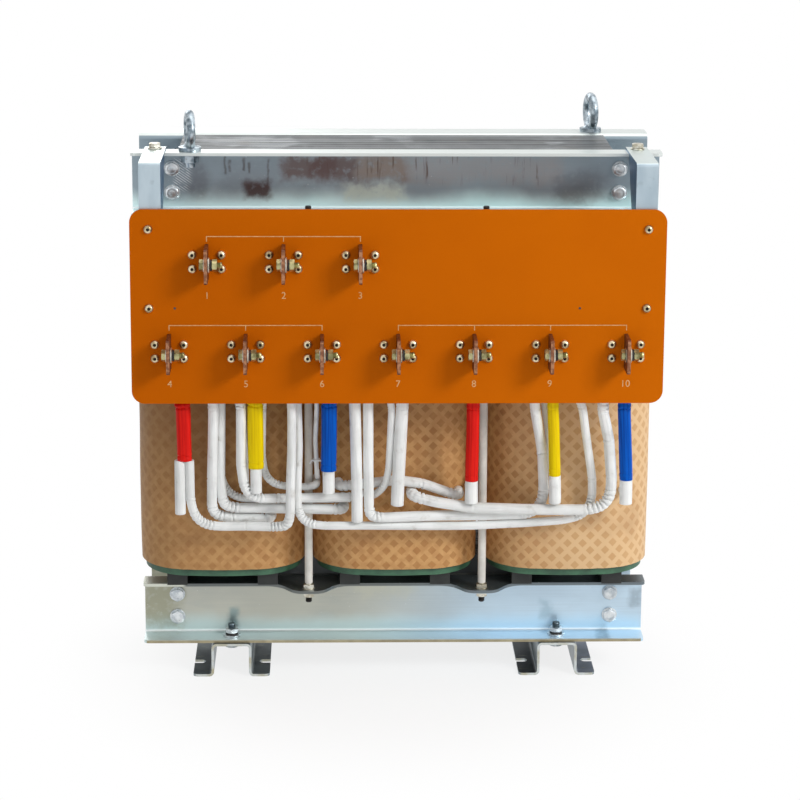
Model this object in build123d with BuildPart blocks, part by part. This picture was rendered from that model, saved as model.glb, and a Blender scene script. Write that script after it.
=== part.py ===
from build123d import *
import os
from math import cos, radians, sin, sqrt, tan

# An open three-phase dry transformer on two feet, with a terminal board in front of its coils.
# Sizes are in millimetres, X runs along the core, -Y is the terminal side and Z is up.
# The origin is on the floor, under the middle of the whole object.

# Laminated core
limb_width = 130
yoke_height = 130
window_width = 145
window_height = 530
core_depth = 150

# Feet, hat channels that run front to back
foot_inset = 78
foot_length = 260
foot_hat = 64
foot_height = 55
foot_flange = 29.5
foot_plate = 4
foot_bend = 4
foot_corner = 8
foot_slot_width = 15
foot_slot_depth = 18
foot_slot_inset = 60
core_pad = 3

# Clamp beams, folded channels on both sides of the yokes
beam_height = 100
beam_depth = 48
beam_plate = 5
beam_bend = 5
beam_corner = 8
beam_insulation = 2
lower_beam_overhang = 62
upper_beam_overhang = 72
upper_beam_rise = 3

# Ears on the beams, with the tie rods through them
ear_reach = 39
ear_root = 97
ear_tip = 42
ear_root_radius = 40
ear_tip_radius = 24
ear_blend = 24
tie_rod_inset = 14
tie_rod = 10
tie_rod_hole = 11
tie_sleeve = 12.6
tie_sleeve_rise = 10
tie_nut = 16
tie_nut_height = 8
tie_end = 9

# Clamp bolts at the beam ends
clamp_bolt = 12
clamp_bolt_hole = 13.5
clamp_bolt_outside = 10
clamp_bolt_pitch = 38
clamp_head = 19
clamp_head_height = 7.5
clamp_washer = 25
clamp_washer_thickness = 2.5
clamp_nut_height = 10
clamp_bolt_end = 8

# Bolts between the beams and the feet
foot_bolt = 12
foot_bolt_hole = 13.5
foot_bolt_y = 101
foot_washer = 28
foot_washer_thickness = 2.5

# Windings
coil_spacing = 10
coil_depth = 320
coil_crown = 3
coil_corner = 85
outer_build = 27
duct_width = 12
inner_opening_x = 140
inner_opening_y = 160
inner_opening_corner = 8
stick_width = 8
stick_web = 4
stick_head = 3
sticks_a_side = 4
coil_top_clearance = 19.5

# Boards and blocks that carry the windings
coil_board = 12
coil_board_inset = 8
board_yoke_gap = 4
lower_block_height = 21.5
block_width = 32
block_x = 72
block_edge = 4
block_beam_overhang = 6
top_board_depth = 60
top_board_width = 180

# Lifting eyes
eye_inset = 91
eye_y = 101
eye_collar = 35
eye_collar_height = 6
eye_ring = 63
eye_bar = 14
eye_height = 63.5
eye_neck = 0.8
eye_collar_hollow = 1.5
eye_thread = 16
eye_nut = 24
eye_nut_height = 13
eye_turn = 8

# Terminal board and what holds it
board_overhang = 31
board_height = 301
board_thickness = 6
board_corner = 20
board_drop = 67
board_standoff = 112
bracket_inset = 37
bracket_width = 33
bracket_plate = 3
bracket_bend = 3
bracket_below_screw = 17
bracket_top_length = 158
gusset_top = 108
gusset_drop = 94
bracket_bolt_y = 101
bracket_bolt = 10
bracket_bolt_hole = 11
bracket_washer = 22
bracket_head = 17
bracket_head_height = 6.5
board_screw = 6
board_screw_hole = 6.6
board_screw_head = 12
board_screw_nut = 10
board_screw_socket = 5
board_screw_offset = 3
board_screw_drops = (30, 152)

# Terminals
terminal_pitch = 116
output_rise = 82
input_drop = 80
bar_thickness = 5
bar_height = 54
bar_projection = 45
bar_chamfer = 6
bar_slot_gap = 0.3
plate_width = 64
plate_height = 44
plate_thickness = 3
terminal_bolt = 10
terminal_bolt_hole = 10.6
terminal_bolt_reach = 26
terminal_washer = 23
terminal_washer_thickness = 1.6
terminal_spring_washer = 17
terminal_spring_thickness = 2.6
terminal_hex = 16
terminal_head_height = 6.4
terminal_nut_height = 8
terminal_bolt_end = 9

# Leads and lugs
lug_height = 44
lug_plate = 2.5
lug_barrel = 12
lug_barrel_height = 16
lug_shoulder = 7
lug_step = 6
end_run = 8
lead_gap = 0.3
bend_share = 0.47
largest_bend = 42
sleeve_gap = 0.8

os.makedirs("parts", exist_ok=True)

# Levels, from the floor up
core_bottom = foot_height + core_pad
window_bottom = core_bottom + yoke_height
window_top = window_bottom + window_height
core_top = window_top + yoke_height
lower_beam_bottom = foot_height
lower_beam_top = lower_beam_bottom + beam_height
upper_beam_top = core_top + upper_beam_rise
upper_beam_bottom = upper_beam_top - beam_height
coil_bottom = lower_beam_top + lower_block_height + coil_board
coil_top = window_top - coil_top_clearance
top_board_top = coil_top + coil_board
board_top = upper_beam_top - board_drop
board_bottom = board_top - board_height
board_screw_levels = [board_top - drop for drop in board_screw_drops]
bracket_bottom = min(board_screw_levels) - bracket_below_screw
gusset_bottom = board_top - gusset_drop
output_level = board_bottom + output_rise
input_level = board_top - input_drop

# Places along the core, from its middle
limb_pitch = limb_width + window_width
core_half_width = limb_pitch + limb_width / 2
foot_x = core_half_width - foot_inset
clamp_bolt_x = core_half_width + clamp_bolt_outside
lower_beam_length = 2 * (core_half_width + lower_beam_overhang)
upper_beam_length = 2 * (core_half_width + upper_beam_overhang)
eye_x = upper_beam_length / 2 - eye_inset
bracket_x = upper_beam_length / 2 - bracket_inset
board_screw_x = bracket_x + board_screw_offset
board_width = 2 * (bracket_x + board_overhang)

# Places across the core, as distances from its middle plane
core_half_depth = core_depth / 2
web_back = core_half_depth + beam_insulation
flange_edge = web_back + beam_depth
ear_edge = flange_edge + ear_reach
rod_line = ear_edge - tie_rod_inset
rod_x = limb_pitch / 2
board_back = flange_edge + board_standoff
board_front = board_back + board_thickness
bar_front = board_front + bar_projection
plate_back = board_back - plate_thickness
lug_back = plate_back - lug_plate

# The core's middle plane stands behind the origin by half of what the front reaches further
core_y = (bar_front - ear_edge) / 2
core_plane = Plane.XZ.offset(-core_y)
limb_centres = {"left": -limb_pitch, "centre": 0, "right": limb_pitch}

# Terminal places
output_x = [place * terminal_pitch for place in range(-3, 4)]
input_x = [(place - 0.5) * terminal_pitch for place in range(-2, 1)]

# Winding outlines
coil_half_x = (limb_pitch - coil_spacing) / 2
coil_half_y = coil_depth / 2
duct_outer_x = coil_half_x - outer_build
duct_outer_y = coil_half_y - coil_crown - outer_build
duct_outer_corner = coil_corner - outer_build
duct_inner_x = duct_outer_x - duct_width
duct_inner_y = duct_outer_y - duct_width
duct_inner_corner = duct_outer_corner - duct_width


def coil_outline(inset=0):
    """A winding's closed outline in plan, with round corners and crowned front and back."""
    half_x = coil_half_x - inset
    side_y = coil_half_y - coil_crown - inset
    corner = coil_corner - inset
    flat_x = half_x - corner
    flat_y = side_y - corner
    diagonal = corner / sqrt(2)
    with BuildLine() as outline:
        ThreePointArc((-flat_x, -side_y), (0, -side_y - coil_crown), (flat_x, -side_y))
        ThreePointArc(
            (flat_x, -side_y),
            (flat_x + diagonal, -flat_y - diagonal),
            (half_x, -flat_y),
        )
        Line((half_x, -flat_y), (half_x, flat_y))
        ThreePointArc(
            (half_x, flat_y),
            (flat_x + diagonal, flat_y + diagonal),
            (flat_x, side_y),
        )
        ThreePointArc((flat_x, side_y), (0, side_y + coil_crown), (-flat_x, side_y))
        ThreePointArc(
            (-flat_x, side_y),
            (-flat_x - diagonal, flat_y + diagonal),
            (-half_x, flat_y),
        )
        Line((-half_x, flat_y), (-half_x, -flat_y))
        ThreePointArc(
            (-half_x, -flat_y),
            (-flat_x - diagonal, -flat_y - diagonal),
            (-flat_x, -side_y),
        )
    return outline.line


def coil_face(x):
    """How far the nearest winding's front reaches from the core's middle plane at x."""
    centre = min(limb_centres.values(), key=lambda place: abs(x - place))
    offset = abs(x - centre)
    flat_x = coil_half_x - coil_corner
    if offset > flat_x:
        across = min(offset - flat_x, coil_corner)
        return coil_half_y - coil_crown - coil_corner + sqrt(coil_corner**2 - across**2)
    crown_radius = (flat_x**2 + coil_crown**2) / (2 * coil_crown)
    return coil_half_y - crown_radius + sqrt(crown_radius**2 - offset**2)


def save(piece, name):
    """Label a finished piece and write it."""
    piece.part.label = name
    export_step(piece.part, f"parts/{name}.step")


# Feet: hat channels with open slots in from the flanges' outer edges
def foot(x):
    half_hat = foot_hat / 2
    half_width = half_hat + foot_flange
    outer_bend = foot_bend + foot_plate
    inner = half_hat - foot_plate
    slot_y = foot_length / 2 - foot_slot_inset
    with BuildPart() as channel:
        with BuildSketch(Plane(origin=(x, core_y, 0), x_dir=(1, 0, 0), z_dir=(0, -1, 0))):
            with BuildLine():
                FilletPolyline(
                    (-half_width, 0),
                    (-inner, 0),
                    (-inner, foot_height - foot_plate),
                    (inner, foot_height - foot_plate),
                    (inner, 0),
                    (half_width, 0),
                    (half_width, foot_plate),
                    (half_hat, foot_plate),
                    (half_hat, foot_height),
                    (-half_hat, foot_height),
                    (-half_hat, foot_plate),
                    (-half_width, foot_plate),
                    radius=[
                        0,
                        outer_bend,
                        foot_bend,
                        foot_bend,
                        outer_bend,
                        0,
                        0,
                        foot_bend,
                        outer_bend,
                        outer_bend,
                        foot_bend,
                        0,
                    ],
                    close=True,
                )
            make_face()
        extrude(amount=foot_length / 2, both=True)
        flange_edges = channel.edges().filter_by(Axis.Z).filter_by(
            lambda edge: abs(edge.center().X - x) > half_hat + foot_flange / 2
        )
        fillet(flange_edges, radius=foot_corner)
        with BuildSketch(Plane.XY):
            for side in (-1, 1):
                slot_root = x + side * (half_width - foot_slot_depth + foot_slot_width / 2)
                for end in (-1, 1):
                    with Locations((slot_root, core_y + end * slot_y)):
                        Circle(foot_slot_width / 2)
                    with Locations((slot_root + side * foot_slot_depth / 2, core_y + end * slot_y)):
                        Rectangle(foot_slot_depth, foot_slot_width)
        extrude(amount=foot_plate, mode=Mode.SUBTRACT)
        with BuildSketch(Plane.XY.offset(foot_height)):
            with Locations((x, core_y - foot_bolt_y), (x, core_y + foot_bolt_y)):
                Circle(foot_bolt_hole / 2)
        extrude(amount=-foot_plate, mode=Mode.SUBTRACT)
    return channel


foot_left = foot(-foot_x)
save(foot_left, "foot_left")
foot_right = foot(foot_x)
save(foot_right, "foot_right")

with BuildPart() as core_pads:
    with BuildSketch(Plane.XY.offset(foot_height)):
        with Locations((-foot_x, core_y), (foot_x, core_y)):
            Rectangle(foot_hat - 2 * (foot_bend + foot_plate), core_depth)
    extrude(amount=core_pad)
save(core_pads, "core_pads")


# Core: plates stacked front to back, with mitred corners and pointed middle joints
def core_piece(*corners):
    with BuildPart() as piece:
        with BuildSketch(core_plane):
            with BuildLine():
                Polyline(*corners, close=True)
            make_face()
        extrude(amount=core_half_depth, both=True)
    return piece


window_edge = core_half_width - limb_width
half_limb = limb_width / 2
middle_point = min(half_limb, yoke_height)

limb_left = core_piece(
    (-core_half_width, core_bottom),
    (-core_half_width, core_top),
    (-window_edge, window_top),
    (-window_edge, window_bottom),
)
save(limb_left, "limb_left")

with BuildPart() as limb_right:
    mirror(limb_left.part, about=Plane.YZ)
save(limb_right, "limb_right")

limb_centre = core_piece(
    (-half_limb, window_bottom),
    (-half_limb, window_top),
    (0, window_top + middle_point),
    (half_limb, window_top),
    (half_limb, window_bottom),
    (0, window_bottom - middle_point),
)
save(limb_centre, "limb_centre")

upper_yoke = core_piece(
    (-core_half_width, core_top),
    (core_half_width, core_top),
    (window_edge, window_top),
    (half_limb, window_top),
    (0, window_top + middle_point),
    (-half_limb, window_top),
    (-window_edge, window_top),
)
save(upper_yoke, "upper_yoke")

with BuildPart() as lower_yoke:
    mirror(upper_yoke.part, about=Plane.XY.offset((core_bottom + core_top) / 2))
save(lower_yoke, "lower_yoke")


# Clamp beams: channels with their webs to the core and ears on the flange that faces the coils
def clamp_beam(length, bottom, ear_bottom, flange_holes, flange_hole_bottom, flange_hole):
    top = bottom + beam_height
    outer_bend = beam_bend + beam_plate
    edge_y = core_y - flange_edge
    back_y = core_y - web_back
    front_y = back_y - beam_plate
    with BuildPart() as beam:
        with BuildSketch(Plane.YZ):
            with BuildLine():
                FilletPolyline(
                    (edge_y, bottom),
                    (back_y, bottom),
                    (back_y, top),
                    (edge_y, top),
                    (edge_y, top - beam_plate),
                    (front_y, top - beam_plate),
                    (front_y, bottom + beam_plate),
                    (edge_y, bottom + beam_plate),
                    radius=[0, outer_bend, outer_bend, 0, 0, beam_bend, beam_bend, 0],
                    close=True,
                )
            make_face()
        extrude(amount=length / 2, both=True)
        corners = beam.edges().filter_by(Axis.Z).filter_by(
            lambda edge: abs(edge.center().Y - edge_y) < lead_gap
        )
        fillet(corners, radius=beam_corner)
        with BuildSketch(Plane.XY.offset(ear_bottom)):
            for x in (-rod_x, rod_x):
                with BuildLine():
                    FilletPolyline(
                        (x - ear_root / 2 - ear_blend, edge_y + ear_blend),
                        (x - ear_root / 2 - ear_blend, edge_y),
                        (x - ear_root / 2, edge_y),
                        (x - ear_tip / 2, edge_y - ear_reach),
                        (x + ear_tip / 2, edge_y - ear_reach),
                        (x + ear_root / 2, edge_y),
                        (x + ear_root / 2 + ear_blend, edge_y),
                        (x + ear_root / 2 + ear_blend, edge_y + ear_blend),
                        radius=[
                            0,
                            0,
                            ear_root_radius,
                            ear_tip_radius,
                            ear_tip_radius,
                            ear_root_radius,
                            0,
                            0,
                        ],
                        close=True,
                    )
                make_face()
        extrude(amount=beam_plate)
        with BuildSketch(Plane.XY.offset(ear_bottom)):
            with Locations((-rod_x, core_y - rod_line), (rod_x, core_y - rod_line)):
                Circle(tie_rod_hole / 2)
        extrude(amount=beam_plate, mode=Mode.SUBTRACT)
        with BuildSketch(Plane.XZ.offset(-back_y)):
            for x in (-clamp_bolt_x, clamp_bolt_x):
                for level in (-0.5, 0.5):
                    middle = (bottom + top) / 2
                    with Locations((x, middle + level * clamp_bolt_pitch)):
                        Circle(clamp_bolt_hole / 2)
        extrude(amount=beam_plate, mode=Mode.SUBTRACT)
        with BuildSketch(Plane.XY.offset(flange_hole_bottom)):
            with Locations(*flange_holes):
                Circle(flange_hole / 2)
        extrude(amount=beam_plate, mode=Mode.SUBTRACT)
    return beam


lower_beam_front = clamp_beam(
    lower_beam_length,
    lower_beam_bottom,
    lower_beam_top - beam_plate,
    [(-foot_x, core_y - foot_bolt_y), (foot_x, core_y - foot_bolt_y)],
    lower_beam_bottom,
    foot_bolt_hole,
)
save(lower_beam_front, "lower_beam_front")

with BuildPart() as lower_beam_back:
    mirror(lower_beam_front.part, about=core_plane)
save(lower_beam_back, "lower_beam_back")

# The front upper beam carries an eye and both brackets, the back one an eye at its other end
upper_beam = clamp_beam(
    upper_beam_length,
    upper_beam_bottom,
    upper_beam_bottom,
    [(-eye_x, core_y - eye_y)],
    upper_beam_top - beam_plate,
    eye_thread + 1,
)
with BuildPart() as upper_beam_front:
    add(upper_beam.part)
    with BuildSketch(Plane.XY.offset(upper_beam_top)):
        with Locations((-bracket_x, core_y - bracket_bolt_y), (bracket_x, core_y - bracket_bolt_y)):
            Circle(bracket_bolt_hole / 2)
    extrude(amount=-beam_plate, mode=Mode.SUBTRACT)
save(upper_beam_front, "upper_beam_front")

with BuildPart() as upper_beam_back:
    add(upper_beam.part.rotate(Axis((0, core_y, 0), (0, 0, 1)), 180))
save(upper_beam_back, "upper_beam_back")

with BuildPart() as beam_insulation_strips:
    for side in (-1, 1):
        strip_y = core_y + side * (core_half_depth + beam_insulation / 2)
        for low, high in (
            (core_bottom, lower_beam_top),
            (upper_beam_bottom, core_top),
        ):
            with Locations((0, strip_y, (low + high) / 2)):
                Box(2 * core_half_width, beam_insulation, high - low)
save(beam_insulation_strips, "beam_insulation")

# Windings: an inner and an outer one on each limb, with a cooling duct between them
for name, x in limb_centres.items():
    with BuildPart() as inner_winding:
        with BuildSketch(Plane((x, core_y, coil_bottom))):
            RectangleRounded(2 * duct_inner_x, 2 * duct_inner_y, duct_inner_corner)
            RectangleRounded(
                inner_opening_x, inner_opening_y, inner_opening_corner, mode=Mode.SUBTRACT
            )
        extrude(amount=coil_top - coil_bottom)
    save(inner_winding, f"coil_{name}_inner")

    with BuildPart() as outer_winding:
        with BuildSketch(Plane((x, core_y, coil_bottom))):
            with BuildLine():
                add(coil_outline())
            make_face()
            RectangleRounded(
                2 * duct_outer_x, 2 * duct_outer_y, duct_outer_corner, mode=Mode.SUBTRACT
            )
        extrude(amount=coil_top - coil_bottom)
    save(outer_winding, f"coil_{name}_outer")

# The sticks' section is an I, whose heads lie on the windings
with BuildSketch() as stick_profile:
    Rectangle(duct_width, stick_web)
    with Locations((stick_head / 2 - duct_width / 2, 0), (duct_width / 2 - stick_head / 2, 0)):
        Rectangle(stick_head, stick_width)

with BuildPart() as duct_sticks:
    flat_x = duct_inner_x - duct_inner_corner - stick_width / 2
    flat_y = duct_inner_y - duct_inner_corner - stick_width / 2
    with BuildSketch(Plane.XY.offset(coil_bottom)):
        for x in limb_centres.values():
            for step in range(sticks_a_side):
                share = 2 * step / (sticks_a_side - 1) - 1
                for side in (-1, 1):
                    duct_y = core_y + side * (duct_inner_y + duct_width / 2)
                    duct_x = x + side * (duct_inner_x + duct_width / 2)
                    with Locations(Pos(x + share * flat_x, duct_y) * Rot(Z=90)):
                        add(stick_profile.sketch)
                    with Locations((duct_x, core_y + share * flat_y)):
                        add(stick_profile.sketch)
    extrude(amount=coil_top - coil_bottom)
save(duct_sticks, "duct_sticks")

# Boards under and over the windings, and the blocks between them and the beams
with BuildPart() as bottom_boards:
    with BuildSketch(Plane.XY.offset(coil_bottom - coil_board)):
        for x in limb_centres.values():
            with Locations((x, core_y)):
                add(make_face(coil_outline(coil_board_inset), mode=Mode.PRIVATE))
                Rectangle(limb_pitch, core_depth + 2 * board_yoke_gap, mode=Mode.SUBTRACT)
    extrude(amount=coil_board)
save(bottom_boards, "bottom_boards")

with BuildPart() as top_boards:
    with BuildSketch(Plane.XY.offset(coil_top)):
        for x in limb_centres.values():
            for side in (-1, 1):
                middle = web_back + top_board_depth / 2
                with Locations((x, core_y + side * middle)):
                    RectangleRounded(top_board_width, top_board_depth, coil_board_inset)
    extrude(amount=coil_board)
save(top_boards, "top_boards")

with BuildPart() as support_blocks:
    block_depth = beam_depth + block_beam_overhang - block_edge
    for low, high in (
        (lower_beam_top, coil_bottom - coil_board),
        (top_board_top, upper_beam_bottom),
    ):
        with BuildSketch(Plane.XY.offset(low)):
            for x in limb_centres.values():
                for side in (-1, 1):
                    for end in (-1, 1):
                        place = core_y + side * (web_back + block_edge + block_depth / 2)
                        with Locations((x + end * block_x, place)):
                            Rectangle(block_width, block_depth)
        extrude(amount=high - low)
save(support_blocks, "support_blocks")


def hexagon_bolt(
    start, direction, diameter, head, head_height, washer, washer_height, grip, nut_height, tail
):
    """A bolt with washers and nut round a grip that starts at start and runs along direction."""
    seat = Plane(origin=start, z_dir=direction)
    with BuildPart(mode=Mode.PRIVATE) as bolt:
        with BuildSketch(seat):
            Circle(washer / 2)
        extrude(amount=-washer_height)
        with BuildSketch(seat.offset(-washer_height)):
            RegularPolygon(head / 2, 6, major_radius=False)
        extrude(amount=-head_height)
        with BuildSketch(seat):
            Circle(diameter / 2)
        extrude(amount=grip + washer_height + nut_height + tail)
        with BuildSketch(seat.offset(grip)):
            Circle(washer / 2)
        extrude(amount=washer_height)
        with BuildSketch(seat.offset(grip + washer_height)):
            RegularPolygon(head / 2, 6, major_radius=False)
        extrude(amount=nut_height)
    return bolt.part


# Through bolts at the beam ends, heads in front and nuts behind
web_grip = 2 * (web_back + beam_plate)
for name, beam_middle in (
    ("lower", lower_beam_bottom + beam_height / 2),
    ("upper", upper_beam_bottom + beam_height / 2),
):
    with BuildPart() as clamp_bolts:
        for x in (-clamp_bolt_x, clamp_bolt_x):
            for level in (-0.5, 0.5):
                place = (x, core_y - web_grip / 2, beam_middle + level * clamp_bolt_pitch)
                add(
                    hexagon_bolt(
                        place,
                        (0, 1, 0),
                        clamp_bolt,
                        clamp_head,
                        clamp_head_height,
                        clamp_washer,
                        clamp_washer_thickness,
                        web_grip,
                        clamp_nut_height,
                        clamp_bolt_end,
                    )
                )
    save(clamp_bolts, f"clamp_bolts_{name}")

# Tie rods between the ears, nuts above and below each ear
lower_ear_top = lower_beam_top
lower_ear_bottom = lower_beam_top - beam_plate
upper_ear_bottom = upper_beam_bottom
upper_ear_top = upper_beam_bottom + beam_plate
rod_places = [(x, core_y + side * rod_line) for x in (-rod_x, rod_x) for side in (-1, 1)]

with BuildPart() as tie_rods:
    rod_low = lower_ear_bottom - tie_nut_height - tie_end
    rod_high = upper_ear_top + tie_nut_height + tie_end
    with BuildSketch(Plane.XY.offset(rod_low)):
        with Locations(*rod_places):
            Circle(tie_rod / 2)
    extrude(amount=rod_high - rod_low)
    for level in (lower_ear_bottom - tie_nut_height, lower_ear_top, upper_ear_top):
        with BuildSketch(Plane.XY.offset(level)):
            with Locations(*rod_places):
                RegularPolygon(tie_nut / 2, 6, major_radius=False)
        extrude(amount=tie_nut_height)
save(tie_rods, "tie_rods")

with BuildPart() as tie_rod_sleeves:
    with BuildSketch(Plane.XY.offset(lower_ear_top + tie_sleeve_rise)):
        with Locations(*rod_places):
            Circle(tie_sleeve / 2)
            Circle(tie_rod / 2, mode=Mode.SUBTRACT)
    extrude(amount=upper_ear_bottom - lower_ear_top - tie_sleeve_rise)
save(tie_rod_sleeves, "tie_rod_sleeves")

with BuildPart() as foot_bolts:
    for x in (-foot_x, foot_x):
        for side in (-1, 1):
            add(
                hexagon_bolt(
                    (x, core_y + side * foot_bolt_y, foot_height - foot_plate),
                    (0, 0, 1),
                    foot_bolt,
                    clamp_head,
                    clamp_head_height,
                    foot_washer,
                    foot_washer_thickness,
                    foot_plate + beam_plate,
                    clamp_nut_height,
                    clamp_bolt_end,
                )
            )
save(foot_bolts, "foot_bolts")


# Lifting eyes: a ring on a collar, with its thread through the flange and a nut below
def lifting_eye(x, y, turn):
    ring_middle = upper_beam_top + eye_height - eye_ring / 2
    ring_radius = (eye_ring - eye_bar) / 2
    half_profile = Plane(origin=(x, y, upper_beam_top), x_dir=(1, 0, 0), z_dir=(0, -1, 0))
    neck = eye_height - eye_ring + eye_neck * eye_bar
    stud_end = -beam_plate - eye_nut_height - clamp_bolt_end
    with BuildPart() as eye:
        with BuildSketch(half_profile):
            with BuildLine():
                Polyline(
                    (0, neck),
                    (0, stud_end),
                    (eye_thread / 2, stud_end),
                    (eye_thread / 2, 0),
                    (eye_collar / 2, 0),
                    (eye_collar / 2, eye_collar_height),
                )
                SagittaArc(
                    (eye_collar / 2, eye_collar_height),
                    (eye_bar / 2, neck),
                    eye_collar_hollow,
                )
                Line((eye_bar / 2, neck), (0, neck))
            make_face()
        revolve(axis=Axis((x, y, 0), (0, 0, 1)))
        across = (cos(radians(turn)), sin(radians(turn)), 0)
        with Locations(Plane(origin=(x, y, ring_middle), z_dir=across)):
            Torus(ring_radius, eye_bar / 2)
        with BuildSketch(Plane.XY.offset(upper_beam_top - beam_plate)):
            with Locations((x, y)):
                RegularPolygon(eye_nut / 2, 6, major_radius=False)
        extrude(amount=-eye_nut_height)
    return eye


lifting_eye_front = lifting_eye(-eye_x, core_y - eye_y, eye_turn)
save(lifting_eye_front, "lifting_eye_front")
lifting_eye_back = lifting_eye(eye_x, core_y + eye_y, eye_turn)
save(lifting_eye_back, "lifting_eye_back")

# Brackets: a folded angle over the beam with a gusset along its inner edge
bracket_top = upper_beam_top + bracket_plate
bracket_front_y = core_y - board_back
bracket_end_y = bracket_front_y + bracket_top_length


def panel_bracket(side):
    centre = side * bracket_x
    inner_edge = centre - side * (bracket_width / 2)
    bend = bracket_bend + bracket_plate
    with BuildPart() as bracket:
        with BuildSketch(Plane.YZ.offset(centre)):
            with BuildLine():
                FilletPolyline(
                    (bracket_front_y, bracket_bottom),
                    (bracket_front_y, bracket_top),
                    (bracket_end_y, bracket_top),
                    (bracket_end_y, upper_beam_top),
                    (bracket_front_y + bracket_plate, upper_beam_top),
                    (bracket_front_y + bracket_plate, bracket_bottom),
                    radius=[0, bend, 0, 0, bracket_bend, 0],
                    close=True,
                )
            make_face()
        extrude(amount=bracket_width / 2, both=True)
        with BuildSketch(Plane.YZ.offset(inner_edge)):
            with BuildLine():
                Polyline(
                    (bracket_front_y + bracket_plate, bracket_top - bend),
                    (bracket_front_y + bend, bracket_top - bracket_plate / 2),
                    (bracket_front_y + gusset_top, bracket_top - bracket_plate / 2),
                    (bracket_front_y + gusset_top, upper_beam_top - bracket_plate),
                    (bracket_front_y + bracket_plate, gusset_bottom),
                    close=True,
                )
            make_face()
        extrude(amount=side * bracket_plate)
        with BuildSketch(Plane.XY.offset(bracket_top)):
            with Locations((centre, core_y - bracket_bolt_y)):
                Circle(bracket_bolt_hole / 2)
        extrude(amount=-bracket_plate, mode=Mode.SUBTRACT)
        with BuildSketch(Plane.XZ.offset(-bracket_front_y)):
            for level in board_screw_levels:
                with Locations((side * board_screw_x, level)):
                    Circle(board_screw_hole / 2)
        extrude(amount=-bracket_plate, mode=Mode.SUBTRACT)
    return bracket


panel_bracket_left = panel_bracket(-1)
save(panel_bracket_left, "panel_bracket_left")
panel_bracket_right = panel_bracket(1)
save(panel_bracket_right, "panel_bracket_right")

with BuildPart() as bracket_bolts:
    for x in (-bracket_x, bracket_x):
        add(
            hexagon_bolt(
                (x, core_y - bracket_bolt_y, bracket_top),
                (0, 0, -1),
                bracket_bolt,
                bracket_head,
                bracket_head_height,
                bracket_washer,
                foot_washer_thickness,
                bracket_plate + beam_plate,
                terminal_nut_height,
                clamp_bolt_end,
            )
        )
save(bracket_bolts, "bracket_bolts")

# Terminal board, with a slot for each bar and holes for its screws
terminals = [(x, output_level) for x in output_x] + [(x, input_level) for x in input_x]
board_plane = Plane.XZ.offset(-(core_y - board_back))

with BuildPart() as terminal_board:
    with BuildSketch(board_plane):
        with Locations((0, board_bottom + board_height / 2)):
            RectangleRounded(board_width, board_height, board_corner)
        with Locations(*terminals):
            Rectangle(
                bar_thickness + 2 * bar_slot_gap,
                bar_height + 2 * bar_slot_gap,
                mode=Mode.SUBTRACT,
            )
        for side in (-1, 1):
            for level in board_screw_levels:
                with Locations((side * board_screw_x, level)):
                    Circle(board_screw_hole / 2, mode=Mode.SUBTRACT)
    extrude(amount=board_thickness)
save(terminal_board, "terminal_board")

with BuildPart() as board_screws:
    for side in (-1, 1):
        for level in board_screw_levels:
            seat = Plane.XZ.offset(-(core_y - board_front))
            with BuildSketch(seat):
                with Locations((side * board_screw_x, level)):
                    Circle(board_screw_head / 2)
            extrude(amount=board_screw)
            with BuildSketch(seat):
                with Locations((side * board_screw_x, level)):
                    Circle(board_screw / 2)
            extrude(amount=-board_thickness - bracket_plate - board_screw)
            with BuildSketch(seat.offset(board_screw)):
                with Locations((side * board_screw_x, level)):
                    RegularPolygon(board_screw_socket / 2, 6, major_radius=False)
            extrude(amount=-board_screw / 2, mode=Mode.SUBTRACT)
            with BuildSketch(seat.offset(-board_thickness - bracket_plate)):
                with Locations((side * board_screw_x, level)):
                    RegularPolygon(board_screw_nut / 2, 6, major_radius=False)
            extrude(amount=-board_screw)
save(board_screws, "board_screws")


# Terminals: a bar square to the board, on a base plate behind it
def terminal(x, level):
    with BuildPart() as bar:
        with BuildSketch(Plane.YZ.offset(x)):
            with BuildLine():
                back = core_y - board_back
                front = core_y - bar_front
                FilletPolyline(
                    (back, level - bar_height / 2),
                    (front, level - bar_height / 2),
                    (front, level + bar_height / 2),
                    (back, level + bar_height / 2),
                    radius=[0, bar_chamfer, bar_chamfer, 0],
                    close=True,
                )
            make_face()
        extrude(amount=bar_thickness / 2, both=True)
        with BuildSketch(board_plane):
            with Locations((x, level)):
                Rectangle(plate_width, plate_height)
        extrude(amount=-plate_thickness)
        with BuildSketch(Plane.YZ.offset(x)):
            with Locations((core_y - board_front - terminal_bolt_reach, level)):
                Circle(terminal_bolt_hole / 2)
        extrude(amount=bar_thickness, both=True, mode=Mode.SUBTRACT)
    return bar


with BuildPart() as output_terminals:
    for x in output_x:
        add(terminal(x, output_level).part)
save(output_terminals, "output_terminals")

with BuildPart() as input_terminals:
    for x in input_x:
        add(terminal(x, input_level).part)
save(input_terminals, "input_terminals")

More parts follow.
